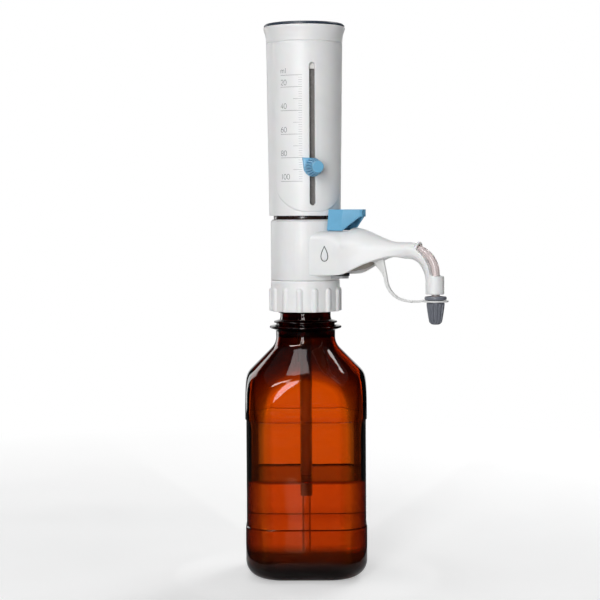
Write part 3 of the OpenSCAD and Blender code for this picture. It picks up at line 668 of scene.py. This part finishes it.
def loop_faces(loops, ends):
    """Faces between loops of equal length. ends says whether they close the first and last loop too."""
    cols = len(loops[0])
    faces = grid_faces(len(loops), cols)
    if ends:
        faces += [tuple(range(cols - 1, -1, -1)), tuple((len(loops) - 1) * cols + j for j in range(cols))]
    return faces


def skin(name, loops, body, mat, ends=False, **kw):
    """A surface through closed loops of points in mm."""
    verts = [p for loop in loops for p in loop]
    return outward(piece(name, verts, loop_faces(loops, ends), body, mat, **kw))


def cut(ob, *cutters):
    """Takes the cutters out of the piece, exactly, and leaves no cutter behind."""
    for c in cutters:
        m = ob.modifiers.new("cut", "BOOLEAN")
        m.operation, m.solver, m.object = "DIFFERENCE", "EXACT", c
        with bpy.context.temp_override(object=ob, active_object=ob):
            bpy.ops.object.modifier_apply(modifier=m.name)
    for c in cutters:
        bpy.data.objects.remove(c)


def cutter(loops):
    """A closed block through loops of points in mm, to cut with."""
    me = bpy.data.meshes.new("cutter")
    me.from_pydata([raised(p) for loop in loops for p in loop], [], loop_faces(loops, True))
    return outward(add_object("cutter", me))


def soften(ob, width):
    """Rounds the sharp edges of a CAD node with modifiers."""
    ob.modifiers.new("weld", "WELD").merge_threshold = 1e-6
    b = ob.modifiers.new("round", "BEVEL")
    b.width, b.segments = width * MM, 3
    b.limit_method, b.angle_limit = "ANGLE", radians(38)
    b.use_clamp_overlap = b.harden_normals = True


# ---- sleeve with its scale panel, one skin

def panel_depth(y, z):
    """How far a point is inside the panel's U-shaped outline."""
    qx = abs(y) - (PANEL_EDGE - PANEL_CORNER)
    qz = PANEL_FOOT + PANEL_CORNER - z
    if qx > 0 and qz > 0:
        return PANEL_CORNER - hypot(qx, qz)
    return min(PANEL_EDGE - abs(y), z - PANEL_FOOT)


def sleeve_r(s, z):
    a = s / PANEL_R
    base = SLEEVE_R + (SLEEVE_TOP_R - SLEEVE_R) * max(0.0, z - SLEEVE_Z - 0.4) / (SLEEVE_TOP - SLEEVE_Z - 0.4)
    if abs(a) > PI / 2:
        return base
    u = panel_depth(PANEL_R * sin(a), z)
    seam = 0.16 * exp(-((u + 0.25) / 0.28) ** 2)
    return base + (PANEL_R - base) * smooth((u + 0.3) / 0.8) - seam


def slot_frame(s, z):
    """Height of the nearest point on the slot's middle line, and the distance from it."""
    mid = max(SLOT_LOW, min(SLOT_HIGH, z))
    return mid, hypot(s, z - mid)


def slot_warp(s, z, half):
    """Pulls a square grid onto the slot's round ends, and leaves it alone further out."""
    for mid, way in ((SLOT_LOW, -1), (SLOT_HIGH, 1)):
        dz = (z - mid) * way
        if dz > 0:
            m, far = max(abs(s), dz), hypot(s, dz)
            k = m / far + (1 - m / far) * smooth((m - half) / 5.0)
            return s * k, mid + way * dz * k
    return s, z


def build_sleeve():
    lip = 0.4
    half = SLOT_HALF + lip
    right = spread(half, 0.5, 5.4, 0.62, 31, 0.36, 38.5, 2.5, PI * PANEL_R)
    inside = spread(0, 0.7, half)[1:]
    cols = [-x for x in right[::-1]] + [-x for x in inside[::-1]] + [0.0] + inside + right
    low, high = SLOT_FOOT - lip, SLOT_TOP + lip
    rows = spread(SLEEVE_Z + 0.45, 0.5, low, 0.5, low + 4, 0.5, 318, 3.2, high - 5, 0.5, high, 0.6, high + 6,
                  2.2, SLEEVE_TOP - 0.3) + [SLEEVE_TOP - 0.3]
    n, verts, faces = len(cols), [], []
    hole = [[low - 1e-6 <= z <= high + 1e-6 and abs(s) <= half + 1e-6 for s in cols] for z in rows]
    outer, inner = {}, {}

    def put(s, z, r):
        verts.append(on_panel(s, z, r))
        return len(verts) - 1

    grid = [(i, j, *slot_warp(s, z, half)) for i, z in enumerate(rows) for j, s in enumerate(cols)]
    for i, j, ws, wz in grid:
        outer[i, j] = put(ws, wz, sleeve_r(ws, wz))
    for i, j, ws, wz in grid:
        mid, d = slot_frame(ws, wz)
        if d > 1e-6:
            k = max(0.0, d - 0.1 * max(0.0, 1 - max(0.0, d - half) / 4)) / d
            ws, wz = ws * k, mid + (wz - mid) * k
        inner[i, j] = put(ws, wz, SLEEVE_IN)
    edges = {}  # edges of the outer faces, in their order
    for i in range(len(rows) - 1):
        for j in range(n):
            k = (j + 1) % n
            corners = [(i, j), (i, k), (i + 1, k), (i + 1, j)]
            if k and all(hole[a][b] for a, b in corners):
                continue
            faces.append(tuple(outer[c] for c in corners))
            faces.append(tuple(inner[c] for c in corners[::-1]))
            edges.update(dict.fromkeys(zip(corners, corners[1:] + corners[:1])))

    def band(low, high):
        return [(low[j], low[(j + 1) % n], high[(j + 1) % n], high[j]) for j in range(n)]

    # foot and top rims
    last = [outer[0, j] for j in range(n)]
    for dr, dz in ((-0.06, 0.2), (-0.2, 0.06), (-0.5, 0.0)):
        row = [put(s, SLEEVE_Z + dz, SLEEVE_R + dr) for s in cols]
        faces += band(row, last)
        last = row
    faces += band([inner[0, j] for j in range(n)], last)
    row = [put(s, SLEEVE_TOP, sleeve_r(s, SLEEVE_TOP) - 0.35) for s in cols]
    faces += band([outer[len(rows) - 1, j] for j in range(n)], row)
    faces += band(row, [inner[len(rows) - 1, j] for j in range(n)])
    # wall of the slot, with a rounded mouth
    open_edges = [(a, b) for a, b in edges if (b, a) not in edges and hole[a[0]][a[1]] and hole[b[0]][b[1]]]
    wall = {}

    def wall_row(key):
        if key not in wall:
            i, j = key
            ws, wz = slot_warp(cols[j], rows[i], half)
            mid, d = slot_frame(ws, wz)
            line = [outer[key]]
            for a in QUARTER:
                w = half - lip * sin(a)
                r = sleeve_r(ws, wz) - lip * (1 - cos(a))
                line.append(put(ws * w / d, mid + (wz - mid) * w / d, r))
            wall[key] = line + [inner[key]]
        return wall[key]

    for a, b in open_edges:
        la, lb = wall_row(a), wall_row(b)
        faces += [(lb[k], la[k], la[k + 1], lb[k + 1]) for k in range(4)]
    outward(piece("sleeve_skin", verts, faces, "plunger", shell, "sleeve scale_panel", "shell_white", 50))


build_sleeve()

# ---- scale: lines, numbers and unit, wrapped on the panel

INK_LIFT = 0.04


def ribbon(points, width, verts, faces, place):
    """Adds a flat line of even width through 2-D points, put on a surface by place(u, v)."""
    pts = [Vector(p) for p in points]
    closed = (pts[0] - pts[-1]).length < 1e-6
    base = len(verts)
    for i, p in enumerate(pts):
        a = pts[i - 1] if i else (pts[-2] if closed else p)
        b = pts[i + 1] if i + 1 < len(pts) else (pts[1] if closed else p)
        d = (b - a).normalized()
        side = Vector((-d.y, d.x)) * width / 2
        verts += [place(*(p + side)), place(*(p - side))]
    for i in range(len(pts) - 1):
        k = base + 2 * i
        faces.append((k, k + 1, k + 3, k + 2))


def curve(cx, cy, rx, ry, a, b, n=14):
    turn = [radians(a + (b - a) * i / n) for i in range(n + 1)]
    return [(cx + rx * cos(t), cy + ry * sin(t)) for t in turn]


# strokes of the figures in a box 0.56 wide and 1 high
STROKES = {
    "0": [curve(0.28, 0.5, 0.28, 0.5, 0, 360, 28)],
    "1": [[(0.1, 0.82), (0.3, 1), (0.3, 0.5), (0.3, 0)]],
    "2": [curve(0.28, 0.73, 0.26, 0.27, 165, -30, 14) + [(0.03, 0.02), (0.3, 0), (0.56, 0)]],
    "4": [[(0.42, 0), (0.42, 0.5), (0.42, 1), (0, 0.3), (0.3, 0.3), (0.58, 0.3)]],
    "6": [curve(0.28, 0.3, 0.27, 0.3, 0, 360, 24), curve(0.62, 0.33, 0.61, 0.67, 108, 176, 8)],
    "8": [curve(0.28, 0.75, 0.23, 0.25, 0, 360, 22), curve(0.28, 0.26, 0.27, 0.26, 0, 360, 22)],
    "m": [[(0, 0), (0, 0.4), (0, 0.66)], curve(0.2, 0.44, 0.2, 0.22, 180, 0, 10) + [(0.4, 0)],
          curve(0.6, 0.44, 0.2, 0.22, 180, 0, 10) + [(0.8, 0)]],
    "l": [[(0.12, 0), (0.12, 0.5), (0.12, 1)]],
}
ADVANCE = {"1": 0.62, "m": 1.02, "l": 0.3}


def write(text, s, z, height, verts, faces, place, width=0.42):
    for ch in text:
        for stroke in STROKES[ch]:
            ribbon([(s + u * height, z + v * height) for u, v in stroke], width, verts, faces, place)
        s += ADVANCE.get(ch, 0.72) * height


def build_scale():
    verts, faces = [], []

    def place(u, v):
        return on_panel(u, v, PANEL_R + INK_LIFT)

    def to_s(deg):
        return radians(deg - 12) * PANEL_R

    for v in range(10, 101, 2):
        z = STOP_Z + 4.15 - v * ML
        deg, width = (-39, 0.28) if v == 10 or v % 20 == 0 else (-17.7, 0.2) if v % 10 == 0 else (-9.3, 0.18)
        start, end = to_s(deg), to_s(-3.6)
        n = max(2, round((end - start) / 1.2))
        ribbon([(start + (end - start) * i / n, z) for i in range(n + 1)], width, verts, faces, place)
        if v % 20 == 0:
            write(str(v), to_s(-38.4), z + 1.6, 4.1, verts, faces, place)
        if v == 10:
            write("ml", to_s(-38.4), z + 1.7, 3.9, verts, faces, place, 0.4)
    piece("scale_marks", verts, faces, "plunger", ink, sharp=None)


build_scale()

# ---- top cap and disc

cap_outline = placed(SLEEVE_IN, SLEEVE_TOP, [(-2, -8.5), (-0.05, -8.5), (-0.05, 0.02)])
cap_outline += placed(SLEEVE_TOP_R, SLEEVE_TOP, [(-0.1, 0.02), (0.05, 0.9), (0.15, 3), (0.8, 7), (2.0, 10.5)])
cap_outline += placed(SLEEVE_TOP_R, LID_Z, [(2.25, -1.2), (1.8, 0)]) + [(SLEEVE_IN - 2, LID_Z)]
turned("top_cap_shell", cap_outline, [0, 0, 0, 0.45, 0.4, 3, 4, 3, 0.7, 0.5, 0.3], "plunger", shell,
       node="top_cap", slot="shell_white", seg=160, sharp=30)
web_in = SLEEVE_IN - 1.95
web = placed(0, SLEEVE_TOP, [(5.05, -8), (9, -8), (9, 2), (web_in, 2), (web_in, 5), (5.05, 5)])
turned("top_cap_web", web, 0.3, "plunger", shell, seg=96)

lid_in, lid_out = SLEEVE_IN - 2.1, SLEEVE_TOP_R + 1.8
lid = placed(0, LID_Z, [(0.02, -3), (lid_in, -3), (lid_in, 0.02)])
lid += placed(lid_out, LID_Z, [(-0.3, 0.02), (0, 0.5), (0, 1.2)])
lid += placed(lid_out, TOP_Z, [(-1.2, -0.05), (-2.6, 0), (-3.4, -0.35)]) + [(0.02, TOP_Z - 0.15)]
turned("top_disc_lid", lid, [0, 0, 0, 0.2, 0.3, 0.5, 0.8, 0.5, 0.5, 0], "plunger", navy, node="top_disc",
       slot="disc_navy", seg=160, sharp=30)

# ---- threaded collar with round grip ribs


def build_collar():
    foot, rib_top, top, n, ribs = 209.0, 228.9, 234.6, 448, 14
    rib_r, base, bore, edge_r = 3.1, BLOCK_R + 0.1, 18.4, 1.3
    phase, step = 0.28 * 2 * PI / ribs, TAU / ribs

    def radius(t, z):
        d = ((t - phase + step / 2) % step - step / 2) * base
        dz = max(0.0, z - (rib_top - rib_r))
        h = rib_r ** 2 - d * d - dz * dz
        rib = base - 1.5 + sqrt(h) if h > 0 else 0
        r = base if rib <= base - 1 else -smin(-base, -rib, 0.5)
        edge = max(0.0, foot + 1.0 - z)
        return r - (1.0 - sqrt(max(0.0, 1.0 - edge * edge)))

    def ring(fn, z):
        at = [(t, fn(t, z) if callable(fn) else fn) for t in bearings(n)]
        return [(r * cos(t), r * sin(t), z) for t, r in at]

    loops = [ring(lambda t, z: radius(t, z) - 0.6, foot)]
    loops += [ring(radius, foot + z) for z in (0.1, 0.3, 0.6, 1, 2, 5, 9, 13, 16)]
    loops += [ring(radius, z) for z in spread(225.6, 0.3, 229.2, 1.2, top - 1.4)]
    for q in (0, 25, 50, 70, 90):
        a = radians(q)
        loops.append(ring(base - edge_r * (1 - cos(a)), top - edge_r + edge_r * sin(a)))
    loops += [ring(bore, top), ring(bore, 227.7), ring(22.8, 227.6), ring(22.8, foot + 0.6), ring(23.4, foot)]
    skin("collar_grip", loops + [loops[0]], "collar", shell, node="collar", slot="shell_white", sharp=40)


build_collar()

# ---- closure cap, its ring and the strap


def build_tube_cap():
    ribs = 12

    def ring(r, z, depth=0.0):
        at = [(t, r + depth * smooth(0.5 + 0.75 * cos(ribs * t))) for t in bearings(240)]
        return [(REACH + q * cos(t), q * sin(t), z) for t, q in at]

    loops = [ring(0.3, CAP_FOOT + 0.1), ring(2.4, CAP_FOOT), ring(3.1, CAP_FOOT + 0.25, 0.2),
             ring(3.35, CAP_FOOT + 0.8, 0.6)]
    for i in range(1, 15):
        k = i / 15
        loops.append(ring(3.35 + 2.6 * k ** 0.72, CAP_FOOT + 0.8 + (RING_Z - 1.6 - CAP_FOOT - 0.8) * k, 1.25))
    loops += [ring(6.2, RING_Z - 1.3, 0.9), ring(6.6, RING_Z - 0.9, 0.4), ring(6.9, RING_Z - 0.6),
              ring(6.9, RING_Z - 0.3), ring(6.2, RING_Z - 0.1), ring(6.2, CAP_TOP - 3.1)]
    flange = placed(0, CAP_TOP, [(6.2, -3), (8.7, -2.8), (8.7, -0.1), (6.6, 0), (5.6, -1.3), (4.2, -1.6),
                                 (3.3, -2.4)])
    flange = rounded(flange, [0, 0.7, 1.1, 0.5, 0.5, 0.4, 0])
    loops += [ring(r, z) for r, z in flange]
    loops += [ring(3.3, 210.8), ring(0.3, 210.7)]
    skin("closure_cap", loops, "tube_cap", slate, node="tube_cap", slot="cap_grey", sharp=45, ends=True)


build_tube_cap()
eye = placed(0, RING_Z, [(6.3, 0.02), (EYE_R, 0.05), (EYE_R, 1.35), (6.3, 1.38)])
turned("strap_eye", eye, 0.55, "tube_cap", strap, node="strap_ring", slot="strap_clear", seg=96, x=REACH)


def build_strap():
    root_x, root_z = 66.4, 250.6
    ring_x, ring_z = REACH - EYE_R - 0.25, RING_Z + 0.7
    knee = Vector((root_x + 7.6, 0, ARM_Z - 20.5))
    end = Vector((ring_x, 0, ring_z))
    line = [knee, knee + Vector((2, 0, -14)), Vector((ring_x - 22, 0, RING_Z - 2.6)), end]

    def at(t):
        """A point of the Bezier curve that hangs between knee and end."""
        shares = (1 - t) ** 3, 3 * t * (1 - t) ** 2, 3 * t * t * (1 - t), t ** 3
        return sum((p * c for p, c in zip(line, shares)), Vector())

    rows = []
    for i in range(9):
        k = i / 9
        left = Vector((root_x - 4.4, 0, root_z + 0.2)).lerp(knee + Vector((-1.5, 0, 0.9)), k)
        right = Vector((root_x + 6.0, 0, root_z + 1.9)).lerp(knee + Vector((1.45, 0, 0.3)), k ** 0.8)
        rows.append((left, right))
    for i in range(49):
        k = i / 48
        d = (at(min(1, k + 0.01)) - at(max(0, k - 0.01))).normalized()
        side = Vector((d.z, 0, -d.x)) * ((1.8 + 1.2 * (1 - k) ** 2) / 2)
        rows.append((at(k) + side, at(k) - side))
    loops = []
    for left, right in rows:
        if (right - left).x < 0 and right.z > left.z:
            left, right = right, left
        mid, half = (left + right) / 2, (right - left) / 2
        loop = []
        for a in bearings(20):
            u, v = (copysign(abs(c) ** 0.5, c) for c in (cos(a), sin(a)))
            loop.append(tuple(mid + half * u + Vector((0, 1.5 * v, 0))))
        loops.append(loop)
    tether = skin("tether", loops, "dispenser", strap, True, node="cap_strap", slot="strap_clear", sharp=60)
    tether.parent = None
    raised(knee)
    raised((ring_x, 0, ring_z))
    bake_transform(tether)


build_strap()

# ---- pointer and clamp knob


def at_slot(x, y, z):
    c, s = cos(SLOT), sin(SLOT)
    return x * c - y * s, x * s + y * c, z


def build_pointer():
    plate_in, plate_out, disc_r, tip_r, edge, n = PANEL_R + 0.1, PANEL_R + 2.3, 7.45, 0.45, 0.6, 64
    tip = Vector((-8.4, 7.7))
    lean, far = atan2(tip.y, tip.x), tip.length
    open_half = acos(disc_r / far)
    outline = []
    for i in range(n + 1):
        a = lean + open_half + (2 * PI - 2 * open_half) * i / n
        outline.append(Vector((disc_r * cos(a), disc_r * sin(a))))
    tail, head = outline[-1], outline[0]
    inner = tip * (1 - tip_r * 1.15 / far)
    outline += [tail.lerp(tip, 0.9 * k / 8 + 0.02) for k in range(1, 9)]
    for k in range(5):
        a = lean - radians(50) + radians(100) * k / 4
        outline.append(inner + Vector((cos(a), sin(a))) * tip_r)
    outline += [head.lerp(tip, 0.9 * k / 8 + 0.02) for k in range(8, 0, -1)]

    def loop(r, inset=0.0, k=1.0):
        """The outline on a cylinder of radius r, drawn in by inset and shrunk to k."""
        pts = [p * (1 - inset / max(p.length, 1)) * k for p in outline]
        return [at_slot(sqrt(r * r - p.x * p.x), p.x, SLIDER_Z + p.y) for p in pts]

    loops = [loop(plate_in, 0.25, k) for k in (0.02, 0.25, 0.5, 0.75, 1)]
    loops += [loop(plate_in + 0.25), loop(plate_out - edge)]
    for a in QUARTER:
        loops.append(loop(plate_out - edge + edge * sin(a), edge * (1 - cos(a))))
    loops += [loop(plate_out, edge, k) for k in (0.75, 0.5, 0.25, 0.02)]
    skin("pointer_plate", loops, "slider", blue, node="pointer", slot="blue", ends=True, sharp=50)


build_pointer()


def build_knob():
    x0, x1, ribs = PANEL_R + 2.4, PANEL_R + 20.3, 16

    def ring(x, r, rib=0.0):
        at = [(t, r + rib * smooth((cos(ribs * t) + 0.75) / 0.6)) for t in bearings(192)]
        return [at_slot(x, q * cos(t), SLIDER_Z + q * sin(t)) for t, q in at]

    loops = [ring(x0, 0.2), ring(x0, 5.7, 1.1), ring(x0 + 0.2, 5.85, 1.4), ring(x0 + 0.7, 5.8, 1.55)]
    for k in range(1, 10):
        f = k / 10
        loops.append(ring(x0 + 0.7 + 12.4 * f, 5.8 - 1.7 * f, 1.55 - 0.3 * f))
    loops += [ring(x1 - 4.6, 4.3, 0.95), ring(x1 - 4.2, 4.6, 0.45), ring(x1 - 3.7, 4.7, 0.1)]
    face = rounded(placed(x1, 0, [(-3, 4.65), (0, 4.6), (-0.12, 3.3), (-0.2, 0.2)]), [0, 0.55, 0.6, 0], 5)
    loops += [ring(x, r) for x, r in face]
    skin("knob_grip", loops, "clamp_knob", blue, node="clamp_knob", slot="blue", ends=True, sharp=35)


build_knob()

# ---- discharge arm


ROOT_W, ROOT_X, ROOT_L, ROOT_TAPER = 22.88, 16.5, 25.6, 3.98
BODY_X, BODY_L = 44.1, 43.9
SEAT = ARM_Z + 16.2


def arm_half(x):
    """Half width of the arm: its root tapers, and its body narrows to the nozzle."""
    root = ROOT_W - max(0.0, x - ROOT_X) * ROOT_TAPER / ROOT_L
    k = max(0.0, min(1.0, (x - BODY_X) / BODY_L))
    body = NOZZLE_R + 5.8 * (1 + cos(PI * k))
    return root + (body - root) * smooth((x - 40) / 4.5)


def arm_under(x):
    k = (x - BODY_X) / BODY_L
    k = min(1.0, (k + sqrt(k * k + 0.012)) / 2)
    return ARM_Z - 19.7 + 16.0 * sin(PI / 2 * k)


def arm_section(x, inset=0.0, low=None):
    """Closed outline across the arm at x: arched over, with rounded lower corners."""
    w = arm_half(x) - inset
    rise = arm_half(max(x, BODY_X)) - inset
    seat = (SEAT if x < 45.5 else SEAT + 4 * smooth((x - 45.5) / 1.6)) - inset
    root = 1 - smooth((x - 33) / 11)
    foot = arm_under(x) if low is None else low
    corner, n = 8.0, 64
    r0 = corner - inset
    out = []
    for i in range(n + 1):
        c, s = cos(PI * i / n), sin(PI * i / n)
        # square shoulders with a corner radius, walked at the same angle as the arch
        if s < 0.3:
            box = (copysign(w, c), ARM_Z + (SEAT - corner - ARM_Z) * s / 0.3)
        elif abs(c) > 0.55:
            k = (asin(s) - asin(0.3)) / (acos(0.55) - asin(0.3)) * PI / 2
            box = (copysign(w - r0 + r0 * cos(k), c), SEAT - corner + r0 * sin(k))
        else:
            box = ((w - r0) * c / 0.55, SEAT - inset)
        y, z = (a + (b - a) * root for a, b in zip((w * c, ARM_Z + rise * s), box))
        out.append((x, y, smin(z, seat, 0.9)))
    bend = smooth((x - 80) / (BEND_X - 80))
    foot += bend * (ARM_Z - 5.9 - foot)
    rc = 1.1 + (w - 1.1) * bend
    rz = 1.1 + (ARM_Z - foot - 1.1) * bend
    m = n // 2
    lower = []
    for i in range(m + 1):
        a = PI / 2 * (i + 0.5) / (m + 0.5)
        lower.append((x, -(w - rc) - rc * cos(a), foot + rz - rz * sin(a)))
    return out + lower + [(x, -y, z) for x, y, z in lower[-2::-1]]


def build_arm():
    loops = [arm_section(x) for x in spread(9, 3.1, 40, 0.6, 45.4, 0.24, 47.3, 1.6, BEND_X)]
    # match the bend's rings to the arm's last section, point by point
    last = arm_section(BEND_X)
    angles = [atan2(z - ARM_Z, y) for x, y, z in last]
    for i in range(25):
        th = PI / 2 * (1 - i / 24)
        thin = 0.75 * smooth((th - 0.35) / 1.0)
        half, mid = NOZZLE_R - thin, BEND_R + thin
        ring = []
        for a in angles:
            r = mid + half * sin(a)
            ring.append((BEND_X + r * cos(th), NOZZLE_R * cos(a), BEND_Z + r * sin(th)))
        if i == 0:
            ring = [tuple((p + q) / 2 for p, q in zip(u, v)) for u, v in zip(ring, last)]
        loops.append(ring)
    foot, lip, lip_r = 225.0, 0.8, 0.6

    def mouth(r, z):
        return [(BEND_X + BEND_R + r * sin(a), r * cos(a), z) for a in angles]

    loops += [mouth(NOZZLE_R, z) for z in spread(BEND_Z, 1.2, foot + lip)[1:] + [foot + lip]]
    for t in QUARTER:
        loops.append(mouth(NOZZLE_R - lip_r * (1 - cos(t)), foot + lip - lip * sin(t)))
    arm = skin("arm_cover", loops, "dispenser", shell, True, node="arm_shell", slot="shell_white", sharp=32)
    # what is taken out: the valve block's place, the inside, the tube's bore and the window at its side
    block_r = BLOCK_R + 0.05
    block = cutter([[(block_r * cos(t), block_r * sin(t), z) for t in bearings(128)] for z in (230, 290)])
    hollow = cutter([arm_section(x, 1.6, low=225) for x in spread(9.5, 3, 40, 1.3, 66) + [66]])
    turn_r, bore_r = 20, 3.6
    path = [(x, ARM_Z + 2.5 - (REACH - turn_r - x) ** 2 / 2 / 522) for x in spread(48, 3, REACH - turn_r)]
    for k in range(17):
        t = PI / 2 * k / 16
        path.append((REACH - turn_r + turn_r * sin(t), 241 + turn_r * cos(t)))
    path += [(REACH, z) for z in (236, 230, 220)]
    bore = []
    for i, (x, z) in enumerate(path):
        a, b = path[max(0, i - 1)], path[min(len(path) - 1, i + 1)]
        d = Vector((b[0] - a[0], 0, b[1] - a[1])).normalized()
        bore.append(hoop(Vector((x, 0, z)), Vector((-d.z, 0, d.x)) * bore_r, Vector((0, bore_r, 0)), 40))
    window = rounded([(100.2, 268.5), (102.2, 261.5), (110.6, 254.6), (115.4, 246.0), (116.4, 240.0),
                      (126, 238.8), (130, 256), (112, 270)], [0, 1.2, 7, 9, 2.8, 0, 0, 0], 8, closed=True)
    side = cutter([[(x, y, z) for x, z in window] for y in (-12, 12)])
    cut(arm, block, hollow, cutter(bore), side)
    arm.data.set_sharp_from_angle(angle=radians(32))


build_arm()

# small moulded lip where the tube leaves the arm's cover
lip_at, lip_dir, lip_up = Vector((102.6, 0, 260.6)), Vector((0.966, 0, -0.259)), Vector((0.259, 0, 0.966))
loops = []
for k in range(33):
    a = PI * k / 32
    out_dir = lip_up * sin(a) + Vector((0, cos(a), 0))
    loops.append(hoop(lip_at + out_dir * 5.0 - lip_up * 0.4, out_dir * 1.4, lip_dir * 1.3, 16))
skin("arm_lip", loops, "dispenser", shell, ends=True)


def build_drop_mark():
    """A plain drop outline on the arm's root, where the photograph's object carries its sign."""
    verts, faces = [], []
    mid_x, mid_z = 29.7, 256.6

    def place(u, v):
        return mid_x + u, -(arm_half(mid_x + u) + INK_LIFT + 0.02), mid_z + v

    turn = [2 * PI * i / 48 for i in range(49)]
    pts = [(3.9 * sin(a) * sin(a / 2) ** 1.25, 6.0 * cos(a)) for a in turn]
    ribbon(pts, 0.7, verts, faces, place)
    piece("drop_mark", verts, faces, "dispenser", print_black, sharp=None)


build_drop_mark()


def build_union_nut():
    x0, x1, ribs = BLOCK_R + 5.9, BLOCK_R + 33.9, 30

    def ring(x, r, rib=0.0):
        at = [(t, r + rib * smooth(0.5 + 0.9 * cos(ribs * t))) for t in bearings(240)]
        return [(x, q * cos(t), ARM_Z + q * sin(t)) for t, q in at]

    out = [(0, 15.2), (0.2, 15.5), (0.8, 15.75, 0.1), (1.6, 15.75, 0.4)]
    out += [(1.6 + k * 1.6, 15.75, 0.45) for k in range(1, 8)]
    out += [(13.6, 15.7, 0.25), (14.4, 15.55), (16.5, 15.4), (19, 14.9), (21.5, 14.2), (24, 13.3)]
    loops = [ring(x0 + x, *r) for x, *r in out] + [ring(x1 - 1.0, 11.8), ring(x1 - 0.3, 11.2), ring(x1, 10.6)]
    loops += [ring(x1, 4.9), ring(47.1, 4.9), ring(47.1, 12.6), ring(x0, 12.6)]
    loops.append(loops[0])
    skin("union_nut_grip", loops, "dispenser", taupe, node="union_nut", slot="nut_taupe", sharp=40)


build_union_nut()


def build_spring():
    """The discharge valve's coil spring, built at one length: it does not shorten as its ball moves out."""
    node = "discharge_spring"
    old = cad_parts[node]
    ends = [(old.matrix_world @ Vector(c)).x / MM for c in old.bound_box]
    x0, x1 = min(ends), max(ends)
    coil, wire, turns, steps, travel = 2.9, 0.5, 5, 30, 1.5
    loops = []
    for i in range(turns * steps + 1):
        a, k = TAU * i / steps, i / (turns * steps)
        out_dir = Vector((0, cos(a), sin(a)))
        centre = Vector((x0 + wire + (x1 - x0 - 2 * wire) * k, 0, ARM_Z)) + out_dir * coil
        loops.append(hoop(centre, out_dir * wire, Vector((wire, 0, 0)), 14))
    spring = skin("valve_spring", loops, "dispenser", steel, True, node=node, slot="spring_steel")
    raised((x1, 0, ARM_Z))
    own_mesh(spring)


build_spring()


# ---- CAD nodes that keep their own shape

KEPT = (
    (seal, "neck_washer cylinder_seal port_shutter piston"), (shell, "block_housing"),
    (core, "valve_block filling_valve discharge_valve tube_flange stop_ring piston_rod"),
    (tube, "dip_tube_upper return_tube"), (tube_low, "dip_tube_lower"), (pink, "discharge_tube"),
    (glass, "glass_cylinder"), (brown, "guard_tube slider_lug"), (ceramic, "inlet_ball discharge_ball"),
    (black, "vent_filter piston_ring"), (grey, "vent_tab"), (dark, "valve_ring"), (blue, "recirc_lever"),
    (steel, "rod_nut"))
ROUNDED = {"block_housing": 0.7, "recirc_lever": 0.55, "vent_filter": 0.5, "vent_tab": 0.5, "valve_ring": 0.2,
           "stop_ring": 0.4, "rod_nut": 0.3, "slider_lug": 0.3, "guard_tube": 0.2}
for mat, names in KEPT:
    for name in names.split():
        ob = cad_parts[name]
        ob.data.materials.clear()
        ob.data.materials.append(mat)
        if name in ROUNDED:
            soften(ob, ROUNDED[name])
